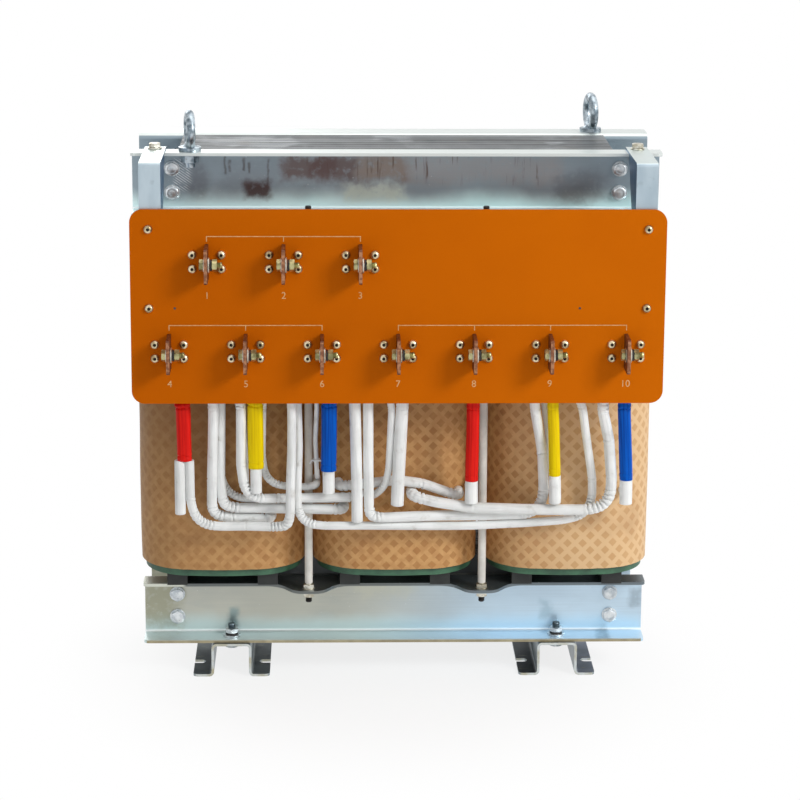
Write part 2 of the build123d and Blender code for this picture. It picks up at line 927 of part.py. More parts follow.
# Cross bolts: head and washer to the left of each bar, washers, nut and thread to the right
with BuildPart() as terminal_bolts:
    for x, level in terminals:
        bolt_y = core_y - board_front - terminal_bolt_reach
        left = x - bar_thickness / 2
        right = x + bar_thickness / 2
        head = left - terminal_washer_thickness - terminal_head_height
        nut = right + terminal_washer_thickness + terminal_spring_thickness
        for start, length, size in (
            (left - terminal_washer_thickness, terminal_washer_thickness, terminal_washer),
            (right, terminal_washer_thickness, terminal_washer),
            (
                right + terminal_washer_thickness,
                terminal_spring_thickness,
                terminal_spring_washer,
            ),
            (head, nut + terminal_nut_height + terminal_bolt_end - head, terminal_bolt),
        ):
            with BuildSketch(Plane.YZ.offset(start)):
                with Locations((bolt_y, level)):
                    Circle(size / 2)
            extrude(amount=length)
        for start, length in ((head, terminal_head_height), (nut, terminal_nut_height)):
            with BuildSketch(Plane.YZ.offset(start)):
                with Locations((bolt_y, level)):
                    RegularPolygon(terminal_hex / 2, 6, major_radius=False)
            extrude(amount=length)
save(terminal_bolts, "terminal_bolts")


# Leads: round sleeves along straight runs joined by tangent arcs
def bend_radii(route, largest):
    """The largest arc that each corner's two runs leave room for."""
    radii = []
    for before, corner, after in zip(route, route[1:], route[2:]):
        run_in = Vector(*corner) - Vector(*before)
        run_out = Vector(*after) - Vector(*corner)
        half_turn = radians(run_in.get_angle(run_out)) / 2
        room = bend_share * min(run_in.length, run_out.length) / tan(half_turn)
        radii.append(min(room, largest))
    return radii


def lead(name, diameter, route, width=0):
    """One lead, round or flattened to a width, from its route in the core's own plane."""
    placed = [(x, core_y + y, z) for x, y, z in route]
    radii = bend_radii(placed, largest_bend)
    with BuildPart(mode=Mode.PRIVATE) as sleeve:
        with BuildLine() as path:
            FilletPolyline(*placed, radius=radii)
        start = path.line @ 0
        with BuildSketch(Plane(origin=start, x_dir=(1, 0, 0), z_dir=path.line % 0)):
            if width:
                Ellipse(width / 2, diameter / 2)
            else:
                Circle(diameter / 2)
        sweep()
    sleeve.part.label = name
    return sleeve.part


def to_coil(x, distance, z, diameter):
    """A lead's last corner and its end, square on the winding's front at x."""
    centre = min(limb_centres.values(), key=lambda place: abs(x - place))
    inner_x = max(abs(x - centre) - diameter / 2, 0)
    return (x, -distance, z), (x, -coil_face(centre + inner_x) - lead_gap, z)


def from_lug(x, level):
    """A lead's start, upright below its lug's barrel, and its next corner."""
    lug_middle = -(lug_back - lug_barrel / 2)
    return (x, lug_middle, level), (x, lug_middle, level - end_run)


def to_end(x, distance, level):
    """A sleeve's last corner and its end, upright over the stub below it."""
    return (x, -distance, level + end_run), (x, -distance, level)


output_top = output_level - plate_height / 2 - 4
input_top = input_level - plate_height / 2 - 4
red_end = 373
yellow_end = 360
blue_end = 358
red_right_end = 345
yellow_right_end = 350
blue_right_end = 346

leads_left = [
    lead("a1", 15, [
        (-341.5, -204, red_end - sleeve_gap),
        *to_coil(-341.5, 203, 298, 15),
    ]),
    lead("a2", 12, [
        (-327, -204, red_end - sleeve_gap),
        (-326, -202, 318),
        (-320, -199, 290),
        (-303, -197, 274.5),
        (-270, -195, 272.5),
        (-235, -194, 272.5),
        (-192, -196, 273),
        (-173.5, -201, 288),
        (-172, -206, 345),
        (-168, -212, 400),
        (-166.5, -217, 470),
        *reversed(from_lug(-184, input_top)),
    ]),
    lead("b1", 14, [
        *from_lug(-302, input_top),
        (-294, -217, 470),
        (-298, -204, 350),
        (-297, -194, 308),
        (-286, -181, 285),
        (-258, -176, 276),
        *to_coil(-196, 176, 276, 14),
    ]),
    lead("b2", 15, [
        *from_lug(-284, input_top),
        (-284, -199, 470),
        (-284.5, -190, 350),
        (-282, -186, 314),
        (-262, -180, 293),
        (-215, -178, 292),
        (-150, -178, 291.5),
        *to_coil(-82, 178, 291, 15),
    ]),
    lead("c", 11.5, [
        *from_lug(-266, input_top),
        (-275, -182, 470),
        (-275, -172.5, 350),
        (-266, -171, 322),
        (-244, -170.5, 308.5),
        (-200, -170.5, 307.5),
        (-150, -170.5, 307.5),
        *to_coil(-84, 170.5, 307, 11.5),
    ]),
    lead("d", 14, [
        *from_lug(-258, output_top),
        (-247, -215, 475),
        (-247.5, -206, 375),
        (-242, -202, 335),
        (-224, -194, 315.5),
        (-185, -186, 313.5),
        (-120, -184, 314.5),
        *to_coil(-58, 184, 315, 14),
    ]),
    lead("t1", 8, [
        *from_lug(-243, output_top),
        (-238, -199, 470),
        (-236.5, -178, 390),
        *to_coil(-234.5, 175, 335, 8),
    ]),
    lead("y1", 16, [
        (-219.5, -205, yellow_end - sleeve_gap),
        *to_coil(-219.5, 204, 334, 16),
    ]),
    lead("t2", 11, [
        *from_lug(-202, output_top),
        (-208, -195, 465),
        (-210, -181, 385),
        (-206, -178, 350),
        (-190, -176, 334),
        (-160, -175, 330.5),
        *to_coil(-125, 175, 330.5, 11),
    ]),
]

leads_centre = [
    lead("t3", 7, [
        *from_lug(-131, output_top),
        (-128, -205, 470),
        (-130.5, -188, 410),
        *to_coil(-126, 178, 350, 7),
    ]),
    lead("bl", 17, [
        (-109, -205, blue_end - sleeve_gap),
        *to_coil(-109, 204, 333, 17),
    ]),
    lead("r1", 15, [
        *reversed(to_coil(-91, 176, 336, 15)),
        (-55, -176, 338),
        (0, -176, 342.5),
        (40, -176, 338),
        *to_coil(96, 177, 322, 15),
    ]),
    lead("g1", 16, [
        *from_lug(-74, input_top),
        (-65.5, -215, 470),
        (-62, -205, 340),
        *to_coil(-61.5, 203, 290, 16),
    ]),
    lead("h", 10.5, [
        *from_lug(-20, output_top),
        (-8.5, -212, 465),
        (-12.5, -200, 365),
        (-18, -192, 336),
        (-32, -183, 320),
        *to_coil(-43, 174, 314, 10.5),
    ]),
    lead("i", 18, [
        *from_lug(8, output_top),
        (7.5, -215, 470),
        (3, -206, 370),
        *to_coil(1, 203, 317.5, 18),
    ]),
]

leads_long = [
    lead("f2", 12.5, [
        *from_lug(-158, input_top),
        (-154, -201, 470),
        (-152.5, -200, 400),
        (-156, -203, 330),
        (-155, -203, 297),
        (-141, -202, 277),
        (-110, -200, 274),
        (-40, -195, 273),
        (40, -187, 270),
        (120, -182, 268.5),
        (200, -178, 271),
        (262, -178, 277),
        (290, -178, 291),
        (303, -178, 318),
        (301, -183, 365),
        (294, -200, 420),
        (287, -214, 470),
        *reversed(from_lug(258, output_top)),
    ]),
    lead("g2", 15, [
        *from_lug(-45, input_top),
        (-45, -214, 470),
        (-44, -204, 345),
        (-43, -202, 306),
        (-27, -199, 288.5),
        (10, -193, 287),
        (70, -185, 286),
        (130, -180, 284.5),
        (190, -178, 287),
        (215, -178, 300),
        (226, -179, 325),
        (223, -190, 390),
        (214, -214, 465),
        *reversed(from_lug(207, output_top)),
    ]),
]

leads_right = [
    lead("j", 16, [
        *reversed(to_coil(24, 192, 320, 16)),
        (62, -195, 311),
        (118, -196, 302),
        (205, -196, 299.8),
        (302, -196, 301),
        (325, -197, 320),
        (334, -201, 355),
        (330.5, -209, 415),
        (323, -219, 470),
        *reversed(from_lug(326, output_top)),
    ]),
    lead("rr", 18, [
        (116.5, -205, red_right_end - sleeve_gap),
        *to_coil(116, 204, 321, 18),
    ]),
    lead("k2", 10, [
        *from_lug(222, output_top),
        (229, -198, 470),
        (236, -181, 400),
        *to_coil(241, 174, 336, 10),
    ]),
    lead("yr", 17, [
        (246, -205, yellow_right_end - sleeve_gap),
        *to_coil(247, 203, 319.5, 17),
    ]),
    lead("br", 18, [
        (355.5, -205, blue_right_end - sleeve_gap),
        *to_coil(356, 203, 318.5, 18),
    ]),
]

sleeves = {
    "red": [
        lead("red left", 16, [
            *from_lug(-345, output_top),
            (-335, -214, 475),
            *to_end(-334.5, 204, red_end),
        ], width=28),
        lead("red right", 19, [
            *from_lug(116, output_top),
            (117, -214, 470),
            *to_end(116.5, 205, red_right_end),
        ], width=20.5),
    ],
    "yellow": [
        lead("yellow left", 17, [
            *from_lug(-223, output_top),
            (-222.5, -214, 475),
            *to_end(-219.5, 205, yellow_end),
        ], width=24),
        lead("yellow right", 17.5, [
            *from_lug(238, output_top),
            (240.5, -214, 470),
            *to_end(246, 205, yellow_right_end),
        ], width=18),
    ],
    "blue": [
        lead("blue left", 18, [
            *from_lug(-110, output_top),
            (-109, -214, 475),
            *to_end(-109, 205, blue_end),
        ], width=24),
        lead("blue right", 18.5, [
            *from_lug(354, output_top),
            (351, -214, 470),
            *to_end(355.5, 205, blue_right_end),
        ], width=19.5),
    ],
}

# Lugs: each one's barrel stands on its lead and its palm lies on a terminal's base plate
with BuildPart() as cable_lugs:
    for x, width, base in (
        (-345, 16, output_top),
        (-258, 13, output_top),
        (-243, 8, output_top),
        (-223, 16, output_top),
        (-202, 11, output_top),
        (-131, 7, output_top),
        (-110, 16, output_top),
        (-20, 12, output_top),
        (8, 16, output_top),
        (116, 16, output_top),
        (207, 13, output_top),
        (222, 10, output_top),
        (238, 14, output_top),
        (258, 13, output_top),
        (326, 16, output_top),
        (354, 16, output_top),
        (-302, 14, input_top),
        (-284, 14, input_top),
        (-266, 12, input_top),
        (-184, 13, input_top),
        (-158, 13, input_top),
        (-74, 16, input_top),
        (-45, 16, input_top),
    ):
        palm = core_y - plate_back
        back = core_y - lug_back
        barrel = back + lug_barrel
        with BuildSketch(Plane.YZ.offset(x)):
            with BuildLine():
                Polyline(
                    (palm, base + lug_step),
                    (back, base + lug_step),
                    (back, base),
                    (barrel, base),
                    (barrel, base + lug_barrel_height),
                    (back, base + lug_barrel_height + lug_shoulder),
                    (back, base + lug_height),
                    (palm, base + lug_height),
                    close=True,
                )
            make_face()
        extrude(amount=width / 2, both=True)
save(cable_lugs, "cable_lugs")

for name, solids in (
    ("leads_left", leads_left),
    ("leads_centre", leads_centre),
    ("leads_long", leads_long),
    ("leads_right", leads_right),
    ("sleeves_red", sleeves["red"]),
    ("sleeves_yellow", sleeves["yellow"]),
    ("sleeves_blue", sleeves["blue"]),
):
    with BuildPart() as bundle:
        for solid in solids:
            add(solid)
    save(bundle, name)
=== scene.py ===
"""Looks of an open three-phase dry transformer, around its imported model. Metres, +Z up."""

import math
from itertools import product

import bmesh
import bpy
from mathutils import Matrix, Vector, noise


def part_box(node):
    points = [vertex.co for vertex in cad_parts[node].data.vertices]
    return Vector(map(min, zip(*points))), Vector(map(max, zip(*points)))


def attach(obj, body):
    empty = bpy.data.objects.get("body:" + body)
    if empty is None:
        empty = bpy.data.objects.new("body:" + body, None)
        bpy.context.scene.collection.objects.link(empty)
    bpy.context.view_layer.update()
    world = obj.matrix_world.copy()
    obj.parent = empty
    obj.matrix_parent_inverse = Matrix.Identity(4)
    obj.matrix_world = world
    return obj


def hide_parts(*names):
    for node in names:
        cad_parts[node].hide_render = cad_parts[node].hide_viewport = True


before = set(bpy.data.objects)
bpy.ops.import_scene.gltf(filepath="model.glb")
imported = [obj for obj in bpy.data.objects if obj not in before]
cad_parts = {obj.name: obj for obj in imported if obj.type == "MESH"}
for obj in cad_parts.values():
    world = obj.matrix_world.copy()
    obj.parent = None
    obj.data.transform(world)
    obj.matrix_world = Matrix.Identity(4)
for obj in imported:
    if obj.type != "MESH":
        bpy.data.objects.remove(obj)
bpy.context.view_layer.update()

MM = 0.001

# Places that come from the frame. A beam's flange is the upper face of its lower one.
BOARD_FRONT, BOARD_BACK = [corner.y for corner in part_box("terminal_board")]
CORE_Y = sum(corner.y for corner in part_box("limb_centre")) / 2
BEAM_SHEET, BEAM_HEIGHT, FLANGE_DEPTH = 5 * MM, 100 * MM, 48 * MM
LOWER_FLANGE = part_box("lower_beam_front")[0].z + BEAM_SHEET
UPPER_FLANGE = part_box("upper_beam_front")[0].z + BEAM_SHEET
LOWER_EAR = LOWER_FLANGE + BEAM_HEIGHT - BEAM_SHEET
UNDER_TOP_FLANGE = UPPER_FLANGE + BEAM_HEIGHT - 2 * BEAM_SHEET
FLANGE_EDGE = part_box("beam_insulation")[0].y - FLANGE_DEPTH
TOP_FLANGE_LEFT = -336 * MM

# Marks on the beams' webs, in mm: left, right, bottom and top above the lower flange, softness,
# strength and colour. Most are stains and handling marks; one is a painted highlight.
UPPER_MARKS = (
    (-275, -178, 34, 84, 12, 0.45, (134, 146, 156)),
    (-178, -60, 44, 84, 11, 0.86, (110, 92, 89)),
    (-62, 20, 46, 84, 12, 0.75, (146, 128, 114)),
    (18, 262, 42, 84, 12, 0.4, (166, 158, 154)),
    # A painted highlight, pale green, low in the upper web's middle
    (-80, 12, 12, 38, 9, 0.85, (222, 238, 228)),
    (-138, -92, 50, 80, 8, 0.5, (98, 72, 70)),
    (-322, -296, 18, 70, 9, 0.5, (112, 116, 124)),
    (250, 330, 14, 60, 12, 0.5, (112, 120, 128)),
    (-238, -196, 17, 44, 7, 0.92, (84, 64, 62)),
    (-269, -266, 54, 84, 1.6, 0.6, (84, 82, 78)),
    (-262, -258, 58, 78, 1.6, 0.55, (88, 84, 80)),
    (-240, -236, 60, 80, 1.6, 0.65, (80, 74, 70)),
    (-231, -227, 56, 74, 1.6, 0.6, (84, 78, 74)),
    (-202, -199, 40, 78, 1.6, 0.55, (86, 74, 70)),
)
LOWER_MARKS = (
    (-420, -352, 14, 88, 22, 0.7, (146, 146, 120)),
    (-268, -251, 9, 38, 6, 0.6, (112, 146, 152)),
    (238, 254, 18, 52, 6, 0.45, (140, 172, 188)),
    (384, 402, 40, 70, 6, 0.5, (126, 140, 150)),
    (326, 348, -4, 2, 5, 0.6, (136, 168, 184)),
    (-60, 30, 60, 88, 12, 0.4, (204, 202, 180)),
)
DRIP_AREA = (-150, 235, 44, 84, 9)
# Where a painted reflection in pale diagonal lines lies on the upper web, in mm as the marks, and the
# lines' pitch
PAINTED_REFLECTION_AREA, REFLECTION_HATCH_PITCH = (-347, -322, 30, 78, 5), 4.2 * MM
DOT_PITCH, WEAVE = 24.5 * MM, 2600


# Materials
def srgb(red, green, blue):
    """A colour in 0 to 255 steps as the shader's linear colour."""
    linear = []
    for value in (red, green, blue):
        share = value / 255
        linear.append(share / 12.92 if share <= 0.04045 else ((share + 0.055) / 1.055) ** 2.4)
    return (*linear, 1)


class Value:
    """A node's output. Its products, sums and smooth steps are outputs of further nodes."""

    def __init__(self, nodes, socket):
        self.nodes, self.socket = nodes, socket

    def __mul__(self, factor):
        return self.nodes.calc("MULTIPLY", self, factor)

    def __add__(self, term):
        return self.nodes.calc("ADD", self, term)

    def __sub__(self, term):
        return self.nodes.calc("SUBTRACT", self, term)

    def fitted(self, factor, term):
        return self.nodes.calc("MULTIPLY_ADD", self, factor, term)

    def step(self, low, high):
        """0 below low, 1 above high and smooth in between. low may be above high."""
        return self.nodes.add("ShaderNodeMapRange", {0: self, 1: low, 2: high},
                              interpolation_type="SMOOTHSTEP")


class Nodes:
    """A node tree, and short ways to add to it."""

    def __init__(self, tree):
        self.tree = tree

    def add(self, kind, inputs=(), output=0, **settings):
        node = self.tree.nodes.new(kind)
        for key, value in settings.items():
            setattr(node, key, value)
        for key, value in dict(inputs).items():
            self.feed(node.inputs[key], value)
        return Value(self, node.outputs[output])

    def feed(self, socket, value):
        if isinstance(value, Value):
            self.tree.links.new(value.socket, socket)
        else:
            socket.default_value = value

    def calc(self, operation, *values):
        return self.add("ShaderNodeMath", enumerate(values), operation=operation)

    def part(self, letter, vector):
        return self.add("ShaderNodeSeparateXYZ", {0: vector}, letter)

    def seen(self):
        """1 for what the camera, reflections and clear surfaces see, and 0 for what lights."""
        rays = [self.add("ShaderNodeLightPath", (), f"Is {kind} Ray")
                for kind in ("Camera", "Glossy", "Transmission")]
        return self.calc("MAXIMUM", self.calc("MAXIMUM", *rays[:2]), rays[2])


class Look(Nodes):
    """A Principled material. base is its colour so far, and colours are in 0 to 255 steps."""

    def __init__(self, name, **sockets):
        self.material = bpy.data.materials.new(name)
        self.material.use_nodes = True
        super().__init__(self.material.node_tree)
        self.shader = self.tree.nodes["Principled BSDF"]
        for socket, value in sockets.items():
            self.shader.inputs[socket.replace("_", " ")].default_value = value
        self.place = self.add("ShaderNodeTexCoord", (), "Object")
        self.bumped = None

    def axis(self, letter):
        return self.part(letter, self.place)

    def normal(self, letter):
        return self.part(letter, self.add("ShaderNodeNewGeometry", (), "Normal"))

    def along(self, layer):
        return self.add("ShaderNodeUVMap", uv_map=layer)

    def noise(self, scale, detail=3, stretch=None, source=None, roughness=0.5):
        source = source or self.place
        if stretch:
            source = self.add("ShaderNodeVectorMath", {0: source, 1: stretch},
                              operation="MULTIPLY")
        return self.add("ShaderNodeTexNoise", {
            "Vector": source, "Scale": scale, "Detail": detail, "Roughness": roughness}, "Fac")

    def mix(self, share, *colours):
        first, second = [srgb(*colour) if isinstance(colour, tuple) else colour
                         for colour in colours]
        return self.add("ShaderNodeMix", {0: share, 6: first, 7: second}, 2, data_type="RGBA",
                        clamp_result=True)

    def tint(self, share, colour):
        self.base = self.mix(share, self.base, colour)

    def rough(self, scale, detail, low, high, source=None):
        value = self.noise(scale, detail, source=source).fitted(high - low, low)
        self.feed(self.shader.inputs["Roughness"], value)

    def bump(self, height, depth, strength):
        inputs = {"Height": height, "Distance": depth, "Strength": strength}
        if self.bumped:
            inputs["Normal"] = self.bumped
        self.bumped = self.add("ShaderNodeBump", inputs)
        self.feed(self.shader.inputs["Normal"], self.bumped)

    def done(self):
        self.feed(self.shader.inputs["Base Color"], self.base)
        return self.material


def zinc_sheet(name, warm, cool, flange, low_warm, low_cool, marks, top_left, top):
    """Zinc plated sheet: warm to the left and cool to the right, with rolling lines.

    flange is the level of a beam's lower flange, above which a painted sheen makes it paler and
    bluer, as low_warm and low_cool say, with a painted highlight along the flange's root.
    top_left and top are the upper flange's colours, which paint light and shade on its top.
    """
    look = Look(name, Metallic=0.74, Roughness=0.36)
    across, height = look.axis("X"), look.axis("Z")
    tone = across.step(-0.1, 0.2)
    look.base = look.mix(tone, warm, cool)
    look.tint(look.noise(4, 4, (1, 1, 2)).step(0.42, 0.66) * 0.14, (120, 132, 140))
    look.tint(look.noise(13, 6, (0.5, 1, 1.4)).step(0.55, 0.75) * 0.3, (136, 150, 160))
    look.tint(look.noise(1, 2, (6, 900, 900)).step(0.4, 0.72) * 0.1, (126, 138, 148))
    # Painted sheen: paler and bluer just above the lower flange
    sheen = look.noise(11, 4).fitted(30 * MM, height).step(flange + 52 * MM, flange + 22 * MM)
    look.tint(sheen * 0.88, look.mix(tone, low_warm, low_cool))
    # Painted highlight: a white line along the root of the lower flange
    root = (height.step(flange + 3.5 * MM, flange + 2 * MM)
            * height.step(flange - 0.5 * MM, flange + 0.5 * MM))
    look.tint(root * 0.8, (248, 252, 254))
    web_marks(look, flange, marks)
    edge = look.axis("Y").step(FLANGE_EDGE + 1.5 * MM, FLANGE_EDGE + 0.5 * MM)
    wear_and_highlight = look.mix(look.noise(60, 3), (190, 180, 148), (126, 116, 94))
    look.tint(edge * height.step(flange + 2 * MM, flange - 2 * MM), wear_and_highlight)
    # Painted light and shade on the upper flange's top: a painted highlight on the upper beams, and
    # painted shade on the lower beams with a painted highlight at its left end
    left_end = across.step(TOP_FLANGE_LEFT + 4 * MM, TOP_FLANGE_LEFT - 4 * MM)
    on_top = height.step(flange + 89.5 * MM, flange + 91 * MM)
    look.tint(on_top * 0.85, look.mix(left_end, top, top_left))
    look.tint(look.noise(300, 1).step(0.76, 0.79) * 0.7, (238, 242, 244))
    look.rough(18, 4, 0.24, 0.5)
    look.bump(look.noise(1, 2, (10, 700, 700)), 0.1 * MM, 0.3)
    look.bump(look.noise(9, 3), 1.2 * MM, 0.3)
    return look.done()


def web_marks(look, flange, marks):
    """Handling marks, stains and drips on a beam's web, with a painted highlight and a painted
    reflection in pale diagonal lines, each with an uneven, broken edge.
    """
    across, height = look.axis("X"), look.axis("Z") - flange
    broken = look.noise(95, 5).step(0.28, 0.5)
    swings = [look.noise(scale, 4).fitted(2, -1) for scale in (38, 125, 31, 118)]

    def span(value, low, high, soft, coarse, fine):
        value = coarse.fitted(1.6 * soft * MM, value)
        value = fine.fitted((0.3 * soft + 1.8) * MM, value)
        return (value.step((low - soft) * MM, (low + soft) * MM)
                * value.step((high + soft) * MM, (high - soft) * MM))

    def patch(left, right, low, high, soft):
        return (span(across, left, right, soft, *swings[:2])
                * span(height, low, high, soft, *swings[2:]))

    for *area, share, colour in marks:
        look.tint(patch(*area) * share * broken.fitted(0.45, 0.55), colour)
    if marks is UPPER_MARKS:
        drips = (look.noise(1, 4, (230, 20, 9), roughness=0.6).step(0.56, 0.68)
                 * look.noise(1, 3, (60, 1, 26)).step(0.42, 0.6))
        look.tint(drips * (patch(*DRIP_AREA) * 0.75), (96, 74, 62))
        # Painted reflection: pale diagonal lines near the upper web's left end
        reflection_hatch = look.calc("SINE", across.fitted(0.7, height) * (2 * math.pi / REFLECTION_HATCH_PITCH))
        look.tint(reflection_hatch.step(0.1, 0.9) * (patch(*PAINTED_REFLECTION_AREA) * broken), (224, 232, 236))


def bracket_sheet():
    """The panel's brackets: pale blue-grey outside, with painted shade in deep blue on their inner
    sides and a painted highlight on their tops.
    """
    look = Look("zinc_sheet_bracket", Metallic=0.7, Roughness=0.36)
    cloud = look.noise(9, 5, (2, 2, 0.7)).step(0.35, 0.68)
    look.base = look.mix(cloud, (190, 205, 214), (160, 178, 190))
    # Painted shade, deep blue, on the sides that face inward
    inward = look.calc("SIGN", look.axis("X")) * look.normal("X")
    look.tint(inward.step(-0.6, -0.9), look.mix(cloud, (84, 122, 156), (60, 92, 126)))
    # Painted highlight on the upward faces
    look.tint(look.normal("Z").step(0.7, 0.95) * 0.7, (214, 222, 216))
    look.tint(look.noise(70, 5).step(0.62, 0.72) * 0.2, (120, 132, 140))
    look.rough(18, 4, 0.26, 0.5)
    look.bump(look.noise(9, 3), 1.2 * MM, 0.3)
    return look.done()


def foot_sheet():
    """The feet's sheet: painted shade where it faces up under the beams, near black on the right
    foot's left part, and pale and yellowish at its cut ends.
    """
    look = Look("foot_sheet", Metallic=0.6, Roughness=0.38)
    cloud = look.noise(22, 5).step(0.38, 0.64)
    across = look.axis("X")
    # Painted shade on the upward faces: dark grey, lilac grey further right, and near black on the
    # right foot's left part
    lilac = look.mix(cloud, (128, 132, 144), (104, 110, 120))
    dark = look.mix(across.step(0.262, 0.266), look.mix(cloud, (52, 62, 68), (84, 92, 94)), lilac)
    shaded = across.step(0.1, 0.11) * across.step(0.234, 0.228)
    dark = look.mix(shaded * 0.85, dark, (20, 20, 18))
    look.base = look.mix(look.normal("Z").step(0.5, 0.8), (150, 160, 164), dark)
    pale = look.mix(look.noise(45, 4).step(0.4, 0.62), (208, 214, 214), (186, 184, 166))
    look.tint(look.normal("Y").step(-0.7, -0.95), pale)
    look.tint(look.noise(1, 2, (40, 260, 40)).step(0.66, 0.74) * 0.6, (172, 158, 110))
    look.rough(30, 3, 0.28, 0.5)
    look.bump(look.noise(12, 3), 1 * MM, 0.3)
    return look.done()


def hardware(name, colour, shade, metallic=0.9, grime=0.5):
    """Plated fasteners, a little uneven, with grime in patches."""
    look = Look(name, Metallic=metallic, Roughness=0.3)
    look.base = look.mix(look.noise(90, 4).step(0.38, 0.66), colour, shade)
    look.tint(look.noise(320, 3).step(0.58, 0.72) * grime, (70, 66, 60))
    look.rough(200, 3, 0.2, 0.46)
    look.bump(look.noise(900, 2), 0.06 * MM, 0.5)
    return look.done()


def core_steel():
    """Edges of stacked plates: fine lines across the stack, in packets of several greys, with
    painted highlights in bright streaks.
    """
    look = Look("core_steel", Metallic=0.2, Roughness=0.5, Specular_IOR_Level=0.15)
    plates = look.noise(1, 1, (1.5, 1150, 1.5))
    packets = look.noise(1, 2, (1.2, 130, 1.2)).step(0.36, 0.64)
    look.base = look.mix(packets, (78, 82, 86), (146, 150, 152))
    look.tint(plates.step(0.4, 0.62) * 0.55, (60, 62, 64))
    look.tint(look.noise(1, 2, (2.2, 52, 2.2)).step(0.52, 0.6) * 0.75, (52, 56, 58))
    # Painted highlights: bright streaks in patches across the plates' edges
    wear_and_highlight = look.noise(1, 3, (11, 6, 11)).step(0.5, 0.66)
    look.tint(wear_and_highlight * (look.noise(1, 2, (5, 300, 5)).step(0.46, 0.62) * 0.8), (206, 212, 216))
    look.tint(look.noise(16, 6).step(0.56, 0.74) * 0.25, (120, 112, 98))
    look.rough(30, 3, 0.36, 0.6)
    look.bump(plates, 0.3 * MM, 0.8)
    return look.done()


def sheet_board(name, colour, shade, scale=22, roughness=0.5):
    """Pressed board or laminate: faint fibres and clouds."""
    look = Look(name, Roughness=roughness)
    look.base = look.mix(look.noise(scale, 5).step(0.35, 0.65), colour, shade)
    fibres = look.noise(1, 3, (60, 700, 700))
    look.tint(fibres.step(0.45, 0.7) * 0.22, tuple(0.62 * value for value in shade))
    look.rough(60, 3, roughness - 0.12, roughness + 0.12)
    look.bump(fibres, 0.12 * MM, 0.5)
    return look.done()


def orange_board():
    """Orange laminate, a little lighter to the right, with a fine even grain."""
    look = Look("orange_board", Roughness=0.45, Specular_IOR_Level=0.03)
    look.base = look.mix(look.axis("X").step(-0.42, 0.42), (199, 96, 0), (207, 104, 2))
    look.tint(look.noise(6, 3).step(0.4, 0.7) * 0.2, (188, 88, 0))
    grain = look.noise(420, 2)
    look.tint(grain.step(0.4, 0.7) * 0.08, (214, 118, 18))
    look.rough(35, 4, 0.36, 0.54)
    look.bump(grain, 0.05 * MM, 0.5)
    look.bump(look.noise(12, 2), 0.6 * MM, 0.25)
    return look.done()


def copper():
    """Dull copper: dark red-brown faces with clouds, and cut front edges that are paler."""
    look = Look("copper", Metallic=0.45, Roughness=0.44)
    look.base = look.mix(look.noise(70, 5).step(0.35, 0.65), (126, 74, 46), (96, 54, 36))
    edge = look.mix(look.noise(160, 3).step(0.4, 0.6), (176, 124, 90), (130, 82, 56))
    look.tint(look.normal("Y").step(-0.75, -0.95), edge)
    look.rough(120, 3, 0.3, 0.55)
    look.bump(look.noise(1, 3, (300, 60, 900)), 0.1 * MM, 0.5)
    return look.done()


def winding_wrap():
    """Diamond-dotted paper. The dots run along the wrap, so they follow the winding's skin.

    It has painted light to the right, and painted shade to the left and under the board.
    """
    look = Look("winding_wrap", Roughness=0.55, Specular_IOR_Level=0.3)
    along, across = look.along("wrap"), look.axis("X")
    wobble = look.noise(14, 2, source=along) * 0.002
    u, v = [look.part(letter, along) + wobble for letter in "XY"]
    reach = []
    for sign in (1, -1):
        line = look.calc("DIVIDE", v.fitted(sign, u), DOT_PITCH)
        line = line + look.noise(190, 2, source=along) * 0.05
        reach.append(look.calc("ABSOLUTE", look.calc("FRACT", line) - 0.5))
    dot = look.calc("MAXIMUM", *reach).step(0.315, 0.265)
    # Where painted shade falls to the left and painted light to the right
    left, right = across.step(-0.1, -0.36), across.step(0.13, 0.3)
    fleck = look.noise(70, 3, source=along).step(0.35, 0.65)
    look.base = look.mix(fleck, (211, 164, 108), (199, 150, 96))
    # Painted light: paler to the right
    look.tint(right, (226, 190, 144))
    # The dots: fainter in the painted shade to the left, paler in the painted light to the right
    dots = look.mix(look.noise(40, 2, source=along).step(0.35, 0.65), (176, 120, 66), (160, 104, 54))
    strength = look.noise(16, 2, source=along).fitted(0.52, 0.28) * left.fitted(-0.4, 1)
    look.tint(dot * strength, look.mix(right, dots, (196, 144, 90)))
    look.tint(look.noise(9, 5, source=along).step(0.5, 0.75) * 0.35, (156, 108, 70))
    # Painted shade: darker to the left and high up under the board, most where both meet
    under, central = look.axis("Z").step(0.24, 0.5), across.step(0.2, 0.08)
    look.tint(left.fitted(0.26, central * 0.14).fitted(under, left * 0.2), (88, 54, 22))
    look.rough(30, 3, 0.42, 0.66, along)
    look.bump(look.noise(900, 2, source=along), 0.08 * MM, 0.5)
    look.bump(look.noise(1, 3, (3, 26, 1), along), 1.4 * MM, 0.35)
    look.bump(dot, 0.08 * MM, 0.5)
    return look.done()


def layered_end(name, colour, shade):
    """A winding's end: turns of paper and wire seen edge on, as rings."""
    look = Look(name, Roughness=0.7)
    rings = look.noise(1, 1, (12, 1700, 1), look.along("wrap"))
    look.base = look.mix(rings.step(0.38, 0.62), colour, shade)
    look.tint(look.noise(60, 4).step(0.45, 0.75), tuple(0.7 * value for value in shade))
    look.bump(rings, 0.5 * MM, 0.8)
    return look.done()


